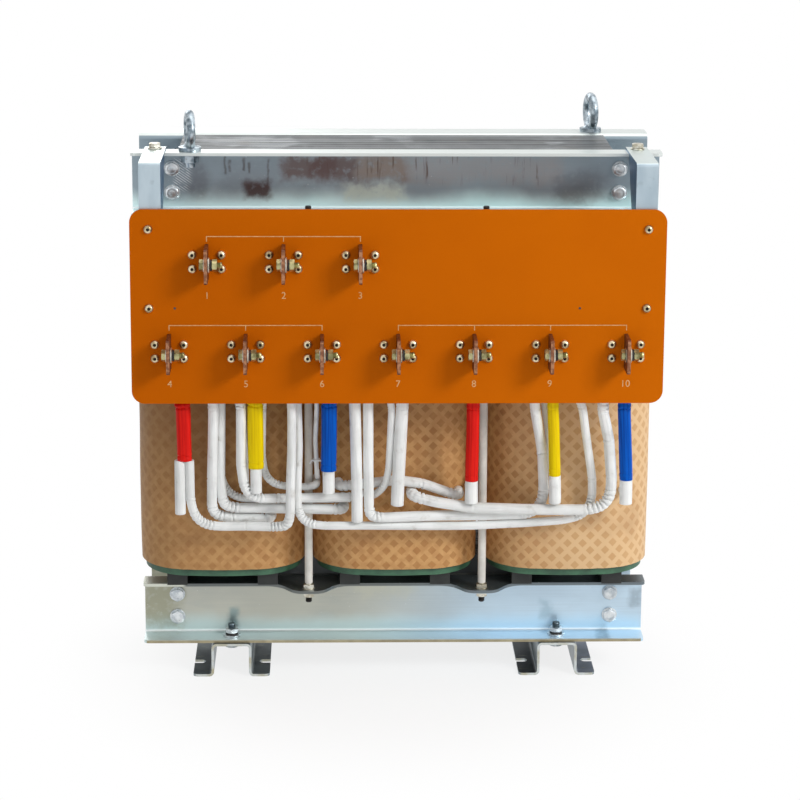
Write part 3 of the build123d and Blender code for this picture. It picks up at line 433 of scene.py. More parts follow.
def paper(name, colour, shade):
    """Plain insulating paper, wound in bands."""
    look = Look(name, Roughness=0.62)
    bands = look.noise(1, 2, (3, 3, 90))
    look.base = look.mix(bands.step(0.4, 0.62), colour, shade)
    look.tint(look.noise(45, 5) * 0.4, tuple(0.72 * value for value in shade))
    look.bump(bands, 0.8 * MM, 0.5)
    look.bump(look.noise(800, 2), 0.1 * MM, 0.5)
    return look.done()


def white_sleeve():
    """White woven sleeving with painted shade in soft lengthwise lines and a few grey smudges."""
    look = Look("white_sleeve", Roughness=0.5, Specular_IOR_Level=0.35)
    look.base = look.mix(look.noise(24, 4).step(0.35, 0.7), (247, 249, 249), (234, 236, 235))
    along = look.along("sleeve")
    # Painted shade: soft grey lines along the sleeve
    look.tint(look.noise(1, 3, (260, 14, 1), along).step(0.5, 0.72) * 0.35, (190, 192, 196))
    look.tint(look.noise(48, 5).step(0.6, 0.76) * 0.4, (172, 166, 156))
    look.rough(90, 3, 0.4, 0.62)
    waves = [look.calc("SINE", look.part(letter, along) * WEAVE) for letter in "XY"]
    look.bump(waves[0] * waves[1], 0.06 * MM, 0.6)
    look.bump(look.noise(1, 2, (420, 18, 1), along), 0.5 * MM, 0.5)
    return look.done()


def shrunk_tube(name, colour, shade):
    """Coloured shrunk tube: smooth and a little glossy, drawn over what is below in long folds, with
    painted highlights and shade in streaks along them.
    """
    look = Look(name, Roughness=0.42, Specular_IOR_Level=0.1)
    # Painted highlights and shade: the colour and its darker copy in streaks along the folds
    folds_and_highlights = look.noise(1, 3, (300, 7, 1), look.along("sleeve"))
    look.base = look.mix(folds_and_highlights.step(0.4, 0.66), colour, shade)
    look.rough(70, 3, 0.32, 0.5)
    look.bump(folds_and_highlights, 0.6 * MM, 0.4)
    look.bump(look.noise(140, 2), 0.2 * MM, 0.4)
    return look.done()


def painted(name, colour, shade, roughness=0.5, scale=60, metallic=0):
    """A plain coloured surface with slight changes of tone, gloss and height."""
    look = Look(name, Roughness=roughness, Metallic=metallic)
    look.base = look.mix(look.noise(scale, 4).step(0.35, 0.65), colour, shade)
    look.rough(scale * 2, 3, roughness - 0.08, roughness + 0.1)
    look.bump(look.noise(scale * 8, 2), 0.08 * MM, 0.5)
    return look.done()


MATERIALS = {
    # The two colours before the marks are a painted sheen. The last two paint the upper flange's top:
    # painted shade with a painted highlight at its left end on the lower beams, a painted highlight on
    # the upper
    "lower": zinc_sheet("zinc_sheet_lower", (188, 189, 178), (198, 219, 234), LOWER_FLANGE,
                        (200, 220, 220), (196, 230, 252), LOWER_MARKS,
                        (214, 218, 206), (84, 90, 92)),
    "upper": zinc_sheet("zinc_sheet_upper", (158, 174, 184), (148, 164, 174), UPPER_FLANGE,
                        (228, 254, 255), (222, 254, 255), UPPER_MARKS,
                        (225, 230, 226), (225, 230, 226)),
    "sheet": bracket_sheet(),
    "foot": foot_sheet(),
    "zinc": hardware("zinc_hardware", (224, 228, 230), (184, 192, 198), 0.9, 0.14),
    "dark": hardware("dark_hardware", (104, 118, 126), (44, 54, 60)),
    "brass": hardware("brass_hardware", (192, 186, 138), (128, 122, 84), 0.85, 0.4),
    "bright": hardware("bright_hardware", (222, 220, 208), (176, 170, 152)),
    "gold": hardware("gold_hardware", (226, 212, 180), (158, 138, 102), 0.95, 0.3),
    "eye": hardware("eye_steel", (188, 200, 208), (104, 118, 128)),
    "tin": hardware("tinned_lug", (190, 186, 178), (150, 142, 130)),
    "black": painted("black_steel", (34, 32, 32), (54, 50, 48), 0.4, 90, 0.4),
    "core": core_steel(),
    "pad": painted("pad", (34, 34, 34), (50, 48, 46), 0.7),
    "green": sheet_board("green_board", (70, 116, 88), (52, 88, 68)),
    "strip": sheet_board("strip_board", (92, 96, 92), (70, 74, 72)),
    "stick": sheet_board("stick_wood", (186, 156, 112), (160, 130, 90), 30, 0.6),
    "block": sheet_board("block_board", (36, 40, 38), (24, 26, 26), 30, 0.55),
    "orange": orange_board(),
    "copper": copper(),
    "wrap": winding_wrap(),
    "end": layered_end("winding_end", (176, 134, 92), (128, 88, 56)),
    "paper": paper("inner_paper", (176, 136, 94), (150, 108, 70)),
    "white": white_sleeve(),
    "rod": painted("rod_sleeve", (230, 228, 222), (212, 210, 204), 0.4, 40),
    "red": shrunk_tube("red_tube", (230, 32, 22), (206, 20, 16)),
    "yellow": shrunk_tube("yellow_tube", (242, 214, 0), (226, 192, 0)),
    "blue": shrunk_tube("blue_tube", (0, 92, 198), (0, 68, 162)),
    # Painted shade, dark brown, for hollows: the sleeves' open mouths, screw sockets and small holes
    "inside": painted("hollow_shade", (60, 52, 48), (84, 74, 68), 0.7),
    "print": painted("pale_print", (224, 180, 124), (208, 156, 98), 0.5, 200),
}

NODE_LOOKS = {
    "lower": ["lower_beam_front", "lower_beam_back"],
    "upper": ["upper_beam_front", "upper_beam_back"],
    "sheet": ["panel_bracket_left", "panel_bracket_right"],
    "foot": ["foot_left", "foot_right"],
    "eye": ["lifting_eye_front", "lifting_eye_back"],
    "tin": ["cable_lugs"],
    "core": ["limb_left", "limb_centre", "limb_right", "upper_yoke", "lower_yoke"],
    "pad": ["core_pads"],
    "strip": ["beam_insulation"],
    "green": ["bottom_boards", "top_boards"],
    "stick": ["duct_sticks"],
    "block": ["support_blocks"],
    "orange": ["terminal_board"],
    "copper": ["output_terminals", "input_terminals"],
    "paper": ["coil_left_inner", "coil_centre_inner", "coil_right_inner"],
    "rod": ["tie_rod_sleeves"],
}
for look_name, nodes in NODE_LOOKS.items():
    for node_name in nodes:
        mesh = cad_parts[node_name].data
        mesh.materials.clear()
        mesh.materials.append(MATERIALS[look_name])


# Mesh pieces
def placed(name, data):
    """A new object in the scene, which holds the data."""
    made = bpy.data.objects.new(name, data)
    bpy.context.collection.objects.link(made)
    return made


def piece(name, builder, looks, replaced=(), smooth=True, crease=38):
    """Makes a piece from a bmesh, in the frame's own place, and rides it on the root."""
    mesh = bpy.data.meshes.new(name)
    bmesh.ops.recalc_face_normals(builder, faces=builder.faces)
    for face in builder.faces:
        face.smooth = smooth
    builder.to_mesh(mesh)
    builder.free()
    for look_name in looks:
        mesh.materials.append(MATERIALS[look_name])
    made = placed(name, mesh)
    if smooth:
        mesh.set_sharp_from_angle(angle=math.radians(crease))
    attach(made, "root")
    if replaced:
        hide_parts(*replaced)


def ring_faces(builder, first, second, look=0):
    """Faces between two closed loops of as many vertices."""
    faces = []
    for index in range(len(first)):
        after = (index + 1) % len(first)
        face = builder.faces.new((first[index], first[after], second[after], second[index]))
        face.material_index = look
        faces.append(face)
    return faces


def mapped_faces(builder, uv, first, second, lengths, low, high, look=0):
    """Faces between two loops, mapped by the lengths round them and from low to high."""
    for index, face in enumerate(ring_faces(builder, first, second, look)):
        corners = ((index, low), (index + 1, low), (index + 1, high), (index, high))
        for loop, (place, level) in zip(face.loops, corners):
            loop[uv].uv = (lengths[place], level)


# Windings
COIL_CORNER = 85 * MM
COIL_CROWN = 3 * MM
COIL_BUILD = 27 * MM
SKIN_STEP = 7 * MM
TURN_STEPS, FRONT_STEPS, SIDE_STEPS, END_STEPS = 18, 16, 22, 6

# Waves in a winding's skin, its edges, which are tucked in and torn, and the rings on its ends
WAVE_DEPTH, EDGE_TUCK, TORN_DEPTH, END_RELIEF = 0.7 * MM, 0.9 * MM, 0.8 * MM, 0.5 * MM
WAVE_SCALE, WAVE_LEVEL, TORN_SCALE, TUCK_RATE = 14, 0.6, 60, 6


def outline(half_x, half_y, corner, crown):
    """Points of a winding's outline in plan, the same number on every outline."""
    flat_x, flat_y = half_x - corner, half_y - crown - corner
    centres = [Vector((sign_x * flat_x, sign_y * flat_y))
               for sign_x, sign_y in ((1, 1), (-1, 1), (-1, -1), (1, -1))]
    points = []

    def direction(quarters):
        return Vector((math.cos(quarters * math.pi / 2), math.sin(quarters * math.pi / 2)))

    for quarter, centre in enumerate(centres):
        for step in range(TURN_STEPS):
            points.append(centre + direction(quarter + step / TURN_STEPS) * corner)
        outward = direction(quarter + 1)
        start, end = [place + outward * corner for place in (centre, centres[(quarter + 1) % 4])]
        bulge, count = (0, SIDE_STEPS) if quarter % 2 else (crown, FRONT_STEPS)
        for share in (step / count for step in range(count)):
            points.append(start.lerp(end, share) + outward * bulge * (1 - (2 * share - 1)**2))
    return points


def winding(side):
    """One outer winding: a wrapped skin that is a little uneven, and layered ends."""
    node = f"coil_{side}_outer"
    low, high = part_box(node)
    centre = (low + high) / 2
    half_x, half_y = (high.x - low.x) / 2, (high.y - low.y) / 2
    skin = outline(half_x, half_y, COIL_CORNER, COIL_CROWN)
    duct = outline(half_x - COIL_BUILD, half_y - COIL_CROWN - COIL_BUILD,
                   COIL_CORNER - COIL_BUILD, 0)
    lengths = [0]
    for start, end in zip(skin, skin[1:] + skin[:1]):
        lengths.append(lengths[-1] + (end - start).length)
    seed = Vector((centre.x * 9, 3, 7))
    builder = bmesh.new()
    uv = builder.loops.layers.uv.new("wrap")
    rows = []
    row_count = round((high.z - low.z) / SKIN_STEP)
    for row in range(row_count + 1):
        share = row / row_count
        height = low.z + (high.z - low.z) * share
        tuck = EDGE_TUCK * (1 - min(1, TUCK_RATE * share, TUCK_RATE - TUCK_RATE * share))
        ring = []
        for point, length in zip(skin, lengths):
            wave = noise.noise(Vector((point.x, point.y, height)) * WAVE_SCALE + seed)
            place = point + point.normalized() * (WAVE_DEPTH * (wave - WAVE_LEVEL) - tuck)
            torn = 0
            if row in (0, row_count):
                spot = Vector((length * TORN_SCALE, row, 0)) + seed
                torn = TORN_DEPTH * abs(noise.noise(spot))
            ring.append(builder.verts.new((centre.x + place.x, centre.y + place.y,
                                           height + (-torn if row else torn))))
        rows.append(ring)
    for lower, upper in zip(rows, rows[1:]):
        mapped_faces(builder, uv, lower, upper, lengths, lower[0].co.z, upper[0].co.z)
    inner = []
    for level, relief, edge in ((low.z, END_RELIEF, rows[0]), (high.z, -END_RELIEF, rows[-1])):
        before = edge
        for step in range(1, END_STEPS + 1):
            ring = []
            for vertex, point in zip(edge, duct):
                target = Vector((centre.x + point.x, centre.y + point.y, level))
                place = vertex.co.lerp(target, step / END_STEPS)
                place.z = level + relief * (step % 2)
                ring.append(builder.verts.new(place))
            insets = [COIL_BUILD * place / END_STEPS for place in (step - 1, step)]
            mapped_faces(builder, uv, before, ring, lengths, *insets, 1)
            before = ring
        inner.append(before)
    mapped_faces(builder, uv, *inner, lengths, low.z, high.z, 2)
    piece(f"winding_{side}", builder, ["wrap", "end", "paper"], [node])


for side in ("left", "centre", "right"):
    winding(side)


# Fasteners
X_AXIS, Y_AXIS, Z_AXIS = Vector((1, 0, 0)), Vector((0, 1, 0)), Vector((0, 0, 1))
CHAMFER_SLOPE = math.tan(math.radians(28))
COARSE, FINE = 1.5, 1  # pitches of threads, in mm


def ray_at(axis, angle):
    """The direction square to an axis at an angle round it."""
    side = axis.cross(Z_AXIS)
    side = side.normalized() if side.length > 0.5 else X_AXIS
    return side * math.cos(angle) + axis.cross(side) * math.sin(angle)


def hexagon_share(angle):
    """How much further than its flats a hexagon reaches at an angle."""
    return 1 / math.cos((angle + math.pi / 6) % (math.pi / 3) - math.pi / 6)


def cap(builder, ring, middle, look):
    """Closes a loop of vertices with faces that meet in the middle."""
    tip = builder.verts.new(middle)
    for index in range(len(ring)):
        face = builder.faces.new((ring[index], ring[(index + 1) % len(ring)], tip))
        face.material_index = look


def turned(builder, origin, axis, profile, look=0, steps=24, hexagonal=False):
    """Revolves (distance, radius) pairs round an axis. A last radius of 0 closes the end."""
    before = None
    for distance, radius in profile:
        middle = origin + axis * distance
        if not radius:
            cap(builder, before, middle, look)
            break
        ring = []
        for step in range(steps):
            angle = 2 * math.pi * step / steps
            reach = radius * (hexagon_share(angle) if hexagonal else 1)
            ring.append(builder.verts.new(middle + ray_at(axis, angle) * reach))
        if before:
            ring_faces(builder, before, ring, look)
        before = ring


def hexagon(builder, origin, axis, across, low, high, look):
    """A hexagon head or nut, with the curved corners that a conical chamfer leaves."""
    steps = 36
    rim = 0.95 * across / 2
    rows = []
    for level, inward in ((low, 0), (low, 1), (high, -1), (high, 0)):
        row = []
        for step in range(steps):
            angle = 2 * math.pi * step / steps
            reach = across / 2 * hexagon_share(angle) if inward else rim
            place = level + inward * (reach - rim) * CHAMFER_SLOPE
            row.append(builder.verts.new(origin + axis * place + ray_at(axis, angle) * reach))
        rows.append(row)
    for first, second in zip(rows, rows[1:]):
        ring_faces(builder, first, second, look)
    cap(builder, rows[0], origin + axis * low, look)
    cap(builder, rows[-1], origin + axis * high, look)


def washer(builder, origin, axis, bore, width, low, high, look):
    """A flat washer with edges softened by wear."""
    outer, inner, soft = width / 2, bore / 2, 0.25 * (high - low)
    turned(builder, origin, axis, [
        (low, inner), (low, outer - soft), (low + soft, outer), (high - soft, outer),
        (high, outer - soft), (high, inner)], look, 32)


def spring_washer(builder, origin, axis, bore, width, low, high, look):
    """A split spring washer: a square wire round the bolt, whose ends stand apart."""
    steps, gap = 26, math.radians(9)
    rise = 0.3 * (high - low)
    before = None
    for step in range(steps + 1):
        share = step / steps
        ray = ray_at(axis, gap + (2 * math.pi - 2 * gap) * share + math.pi / 2)
        middle = origin + axis * (rise * (share - 0.5))
        ring = [builder.verts.new(middle + axis * level + ray * reach / 2) for level, reach in (
            (low, bore), (low, width), (high, width), (high, bore))]
        if before:
            ring_faces(builder, before, ring, look)
        if step in (0, steps):
            builder.faces.new(ring).material_index = look
        before = ring


def stud(builder, origin, axis, size, start, end, pitch, look):
    """A threaded rod's end: ridges along it and a chamfered tip."""
    radius, depth = size / 2, 0.55 * pitch
    profile = [(start, radius)]
    level = start + pitch
    while level < end - 1.2 * pitch:
        profile += [(level - pitch / 2, radius - depth), (level, radius)]
        level += pitch
    profile += [(end - 0.7 * pitch, radius - 0.2 * depth), (end, radius - 1.4 * depth), (end, 0)]
    turned(builder, origin, axis, profile, look, 20)


def rod(builder, origin, axis, size, start, end, look):
    """A plain round rod with open ends."""
    turned(builder, origin, axis, [(start, size / 2), (end, size / 2)], look)


def button_screw(builder, origin, axis, height, look):
    """A domed screw head with a hexagonal socket, dark with painted shade, which takes the next look.
    """
    radius, hole, rim = 7 * MM, 2.5 * MM, 2.9 * MM
    dome = [(0, radius)]
    for angle in (math.radians(16 * step) for step in range(1, 6)):
        dome.append((height * math.sin(angle) / math.sin(math.radians(80)),
                     rim + (radius - rim) * math.cos(angle)))
    top, edge = dome[-1]
    turned(builder, origin, axis, dome, look)
    turned(builder, origin, axis, [(top, edge), (top, hole)], look)
    turned(builder, origin, axis, [
        (top, hole), (top - 0.7 * height, hole), (top - 0.75 * height, 0)], look + 1,
        hexagonal=True)


def fasteners(name, looks, slot_name, replaced, *stacks):
    """A piece of fasteners. Each stack has its places, its axis and what lies along that.

    An item of a stack is the function that makes it, its sizes in mm and its look's number.
    """
    builder = bmesh.new()
    for places, axis, *items in stacks:
        for place, (make, *sizes, look) in product(places, items):
            make(builder, Vector(place), axis, *[size * MM for size in sizes], look)
    piece(name, builder, looks, replaced)


def seats(node, inset, **level):
    """Places inset, in mm, from the ends of a node's box, except on axes with a given level."""
    low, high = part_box(node)
    return list(product(*[
        (level[axis],) if axis in level
        else (getattr(low, axis) + inset * MM, getattr(high, axis) - inset * MM)
        for axis in "xyz"]))


TERMINAL_PITCH, BAR_FACE = 116 * MM, 2.5 * MM
BAR_BOLT = BOARD_FRONT - 26 * MM
NUT_SEAT = BOARD_BACK + 3 * MM
output_low, output_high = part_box("output_terminals")
input_low, input_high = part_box("input_terminals")
OUTPUT_LEVEL = (output_low.z + output_high.z) / 2
INPUT_LEVEL = (input_low.z + input_high.z) / 2
OUTPUT_X = [place * TERMINAL_PITCH for place in range(-3, 4)]
INPUT_X = [(input_low.x + input_high.x) / 2 + place * TERMINAL_PITCH for place in (-1, 0, 1)]
TERMINALS = [(x, OUTPUT_LEVEL) for x in OUTPUT_X] + [(x, INPUT_LEVEL) for x in INPUT_X]

# Each bar's bolt has its head on the left, and its spring washer, nut and thread on the right
fasteners("terminal_hardware", ["brass", "bright", "black"], "brass_hardware", ["terminal_bolts"],
          ([(x - BAR_FACE, BAR_BOLT, z) for x, z in TERMINALS], -X_AXIS,
           (washer, 10.5, 23, 0, 1.6, 1), (hexagon, 16, 1.6, 8, 0)),
          ([(x + BAR_FACE, BAR_BOLT, z) for x, z in TERMINALS], X_AXIS,
           (washer, 10.5, 24, 0, 2.8, 1), (spring_washer, 10.4, 18, 3.4, 6, 2),
           (hexagon, 16, 6.4, 14.4, 0), (stud, 9.8, 4, 21.8, COARSE, 0)))

# Through bolts at both ends of each pair of beams have their nuts behind
for pair in ("lower", "upper"):
    bolts = f"clamp_bolts_{pair}"
    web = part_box(f"{pair}_beam_front")[1].y - BEAM_SHEET
    front, back = seats(bolts, 12.5, y=web), seats(bolts, 12.5, y=2 * CORE_Y - web)
    fasteners(bolts + "_detailed", ["zinc"], "zinc_hardware", [bolts],
              (front, -Y_AXIS, (washer, 13, 25, 0, 2.5, 0), (hexagon, 19, 2.5, 10, 0),
               (washer, 11, 15.5, 9.9, 10.35, 0)),
              (back, Y_AXIS, (washer, 13, 25, 0, 2.5, 0), (hexagon, 19, 2.5, 12.5, 0),
               (stud, 12, 2.5, 20.5, COARSE, 0)),
              (front, Y_AXIS, (rod, 12, 0, 2 * (CORE_Y - web) / MM, 0)))

# The feet's bolts have their heads below and their nuts on the lower beams' flanges
foot_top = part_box("foot_left")[1].z
fasteners("foot_bolts_detailed", ["zinc", "black", "dark"], "zinc_hardware", ["foot_bolts"],
          (seats("foot_bolts", 14, z=foot_top - 4 * MM), -Z_AXIS,
           (washer, 13, 28, 0, 2.5, 0), (hexagon, 19, 2.5, 10, 0)),
          (seats("foot_bolts", 14, z=LOWER_FLANGE), Z_AXIS,
           (washer, 13, 28, 0, 2.5, 0), (spring_washer, 12.3, 20, 2.7, 5, 1),
           (hexagon, 19, 5.2, 12.5, 0), (stud, 12, 2, 20.5, COARSE, 2)))

# Tie rods have threaded ends, with nuts under and over the lower ears and over the upper ones
rod_low, rod_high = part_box("tie_rods")
ground, under_ear, lower_ear, upper_ear = [
    seats("tie_rod_sleeves", 6.3, z=level)
    for level in (0, LOWER_EAR - BEAM_SHEET, LOWER_EAR, UPPER_FLANGE)]
rod_nut = (washer, 10.5, 20, 0, 1.2, 0), (hexagon, 16, 1.2, 8, 0)
fasteners("tie_rods_detailed", ["bright", "black"], "zinc_hardware", ["tie_rods"],
          (ground, Z_AXIS, (rod, 9.8, LOWER_EAR / MM - 4, UPPER_FLANGE / MM, 0)),
          (lower_ear, -Z_AXIS, (stud, 10, 0, (LOWER_EAR - rod_low.z) / MM, COARSE, 1)),
          (upper_ear, Z_AXIS, (stud, 10, -4, (rod_high.z - UPPER_FLANGE) / MM, COARSE, 1)),
          (under_ear, -Z_AXIS, *rod_nut), (lower_ear + upper_ear, Z_AXIS, *rod_nut))

# The panel's brackets are bolted on the front upper beam
bolt_low, bolt_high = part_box("bracket_bolts")
bolt_y, seat = (bolt_low.y + bolt_high.y) / 2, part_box("panel_bracket_left")[1].z
fasteners("bracket_bolts_detailed", ["bright"], "zinc_hardware", ["bracket_bolts"],
          (seats("bracket_bolts", 11, y=bolt_y, z=seat), Z_AXIS,
           (washer, 10.5, 22, 0, 2.2, 0), (hexagon, 17, 2.4, 9, 0)),
          (seats("bracket_bolts", 11, y=bolt_y, z=UNDER_TOP_FLANGE), -Z_AXIS,
           (washer, 10.5, 22, 0, 2.2, 0), (hexagon, 17, 2.4, 10.4, 0),
           (stud, 10, 0, 18.4, COARSE, 0)))

# Four screws hold the board's corners, with their nuts behind the brackets
fasteners("board_screws_detailed", ["gold", "inside"], "brass_hardware", ["board_screws"],
          (seats("board_screws", 6, y=BOARD_FRONT), -Y_AXIS, (button_screw, 5, 0)),
          (seats("board_screws", 6, y=NUT_SEAT), Y_AXIS, (hexagon, 10, 0, 5, 0),
           (stud, 6, -9, 6, FINE, 0)))


SCREW_SIDE, SCREW_RISE = 22 * MM, 10.8 * MM
LUG_ROOM, ROW_ROOM = 14 * MM, 40 * MM


def terminal_screws():
    """Four small screws round each terminal, with nuts behind where no lug lies."""
    screws, nuts = [], []
    sides, rises = (-SCREW_SIDE, SCREW_SIDE), (-SCREW_RISE, SCREW_RISE)
    for (x, level), side, rise in product(TERMINALS, sides, rises):
        screws.append((x + side, BOARD_FRONT, level + rise))
        if all(abs(x + side - lug) > LUG_ROOM for lug, base in lug_places
               if abs(base - level) < ROW_ROOM):
            nuts.append((x + side, NUT_SEAT, level + rise))
    fasteners("terminal_screws", ["gold", "inside"], "brass_hardware", (),
              (screws, -Y_AXIS, (button_screw, 5.2, 0)),
              (nuts, Y_AXIS, (hexagon, 10, 0, 4.5, 0), (stud, 6, 0, 6.5, FINE, 0)))


# Printing and small holes on the board
PRINT_HEIGHT, NUMBER_SIZE = 0.15 * MM, 15 * MM
HALF_LINE, TICK = 0.65 * MM, 8 * MM
INPUT_DROP, OUTPUT_DROP = 57 * MM, 56 * MM
INPUT_LINE, OUTPUT_LINE = 743 * MM, 605.5 * MM
SMALL_HOLES = (-339 * MM, 632 * MM), (276 * MM, 632 * MM)


def printed_marks():
    """Pale lines that join each row's terminals, plain numbers and two small holes, dark with painted
    shade.
    """
    builder = bmesh.new()
    above = BOARD_FRONT - PRINT_HEIGHT

    def bar(left, right, low, high):
        corners = [(left, low), (right, low), (right, high), (left, high)]
        builder.faces.new([builder.verts.new((x, above, z)) for x, z in corners])

    for places, level in ((INPUT_X, INPUT_LINE), (OUTPUT_X[:3], OUTPUT_LINE),
                          (OUTPUT_X[3:], OUTPUT_LINE)):
        bar(places[0] - HALF_LINE, places[-1] + HALF_LINE, level - HALF_LINE, level + HALF_LINE)
        for x in places:
            bar(x - HALF_LINE, x + HALF_LINE, level - TICK, level - HALF_LINE)
    spots = [(x, INPUT_LEVEL - INPUT_DROP) for x in INPUT_X]
    spots += [(x, OUTPUT_LEVEL - OUTPUT_DROP) for x in OUTPUT_X]
    for number, (x, level) in enumerate(spots, start=1):
        letter = bpy.data.curves.new("number", "FONT")
        letter.body = str(number)
        letter.size = NUMBER_SIZE
        letter.align_x = "CENTER"
        holder = placed("number", letter)
        bpy.context.view_layer.update()
        shape = bpy.data.meshes.new_from_object(
            holder.evaluated_get(bpy.context.evaluated_depsgraph_get()))
        shape.transform(Matrix.Translation((x, above, level))
                        @ Matrix.Rotation(math.pi / 2, 4, "X"))
        builder.from_mesh(shape)
        bpy.data.objects.remove(holder)
        bpy.data.meshes.remove(shape)
    for x, z in SMALL_HOLES:
        place = Vector((x, BOARD_FRONT, z))
        turned(builder, place, -Y_AXIS, [(0, 2 * MM), (0.2 * MM, 1.7 * MM), (0.2 * MM, 1.3 * MM)],
               1, 16)
        turned(builder, place, -Y_AXIS, [(0.2 * MM, 1.3 * MM), (0.1 * MM, 0)], 1, 16)
    piece("printed_marks", builder, ["print", "inside"], smooth=False)


# Leads. Routes are in mm: across, from the core's middle plane and up.
LARGEST_BEND = 42 * MM
BEND_SHARE = 0.47
STRAIGHT = 0.005
EASING_ROUNDS = 30
RING_SIDES = 22
FULLNESS = 1.06
COIL_PITCH = 275
LUG_Y, LUG_HEIGHT = -225.5, 44
STUB_GAP, END_RUN = 0.3, 8
OUTPUT_LUGS = 1000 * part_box("cable_lugs")[0].z
INPUT_LUGS = 1000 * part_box("cable_lugs")[1].z - LUG_HEIGHT
RED_END, YELLOW_END, BLUE_END = 382, 370, 365.5
RED_RIGHT_END, YELLOW_RIGHT_END, BLUE_RIGHT_END = 349, 357, 350
TIE_LEVEL = 376 * MM
DROPPED, JOINED = True, False
lug_places = []

# How bent a sleeve is, as its size over the bend's radius, where its pleats start and how much
# further they are full. Their pitch and depth, and how slack it is, are shares of its size.
PLEAT_START, PLEAT_RANGE = 0.08, 0.24
PLEAT_PITCH, PLEAT_DEPTH, SLACK = 0.46, 0.25, 0.04
PLEAT_SWAY, SWAY_SCALE, SLACK_SCALE = 2.6, 38, 11
PLAIN_STEP, END_FADE = 6, 9

# A sleeve's lip and mouth: how far they turn in, as shares of its radius, and their depths
LIP_INSET, MOUTH_INSET, LIP_DEPTH, MOUTH_DEPTH = 0.1, 0.24, 0.5 * MM, -3 * MM

# A dropped lead is cut this far below its last corner, and its stub is this thick, as shares
# of its size
CUT_SHARE, STUB_SHARE = 0.42, 0.7


def coil_front(x):
    """How far, in mm, the nearest winding's front reaches from the core's middle plane at x."""
    low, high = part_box("coil_centre_outer")
    half_x, half_y = 500 * (high.x - low.x), 500 * (high.y - low.y)
    corner, crown = COIL_CORNER / MM, COIL_CROWN / MM
    offset = abs(x - round(x / COIL_PITCH) * COIL_PITCH)
    flat = half_x - corner
    if offset > flat:
        return half_y - crown - corner + math.sqrt(corner**2 - min(offset - flat, corner)**2)
    return half_y - crown * (offset / flat)**2


def from_lug(x, level=OUTPUT_LUGS):
    """A lead's start, upright below its lug's barrel, and its next corner."""
    lug_places.append((x * MM, level * MM))
    return (x, LUG_Y, level), (x, LUG_Y, level - END_RUN)


def to_coil(x, distance, z, size):
    """A lead's last corner and its end, square on the winding's front at x."""
    inner = max(abs(x - round(x / COIL_PITCH) * COIL_PITCH) - size / 2, 0)
    return (x, -distance, z), (x, -coil_front(inner) - STUB_GAP, z)


def to_end(x, distance, level):
    """A sleeve's last corner and its end, upright over what comes out of it."""
    return (x, -distance, level + END_RUN), (x, -distance, level)


def spaced(points, step):
    """The same line with points at equal steps."""
    made, carry = [points[0].copy()], 0
    for start, end in zip(points, points[1:]):
        length = (end - start).length
        place = step - carry
        while place < length:
            made.append(start.lerp(end, place / length))
            place += step
        carry = length - (place - step)
    made.append(points[-1].copy())
    return made


def flowing(route):
    """A lead's middle line at 1 mm steps: runs joined by arcs, eased where they meet."""
    corners = [Vector((x * MM, CORE_Y + y * MM, z * MM)) for x, y, z in route]
    line = [corners[0]]
    for before, corner, after in zip(corners, corners[1:], corners[2:]):
        run_in, run_out = corner - before, after - corner
        half = run_in.angle(run_out) / 2
        if half < STRAIGHT:
            continue
        radius = min(BEND_SHARE * min(run_in.length, run_out.length) / math.tan(half),
                     LARGEST_BEND)
        inward = (run_out.normalized() - run_in.normalized()).normalized()
        centre = corner + inward * radius / math.cos(half)
        arm = corner - run_in.normalized() * radius * math.tan(half) - centre
        axis = run_in.cross(run_out).normalized()
        steps = max(3, round(2 * half * radius / MM))
        for step in range(steps + 1):
            line.append(centre + Matrix.Rotation(2 * half * step / steps, 3, axis) @ arm)
    line.append(corners[-1])
    line = spaced(line, MM)
    for turn in range(EASING_ROUNDS):
        line[2:-2] = [(a + b + b + c) / 4 for a, b, c in zip(line[1:-3], line[2:-2], line[3:-1])]
    return line


def curvature(line):
    """The way that each point of a line bends towards, as long as it bends in a millimetre."""
    tangents = [(b - a).normalized() for a, b in zip(line, line[1:])]
    bends = [Vector()] + [(b - a) / MM for a, b in zip(tangents, tangents[1:])] + [Vector()]
    reach = 5
    return [sum(bends[max(0, i - reach):i + reach + 1], Vector()) / (2 * reach + 1)
            for i in range(len(bends))]


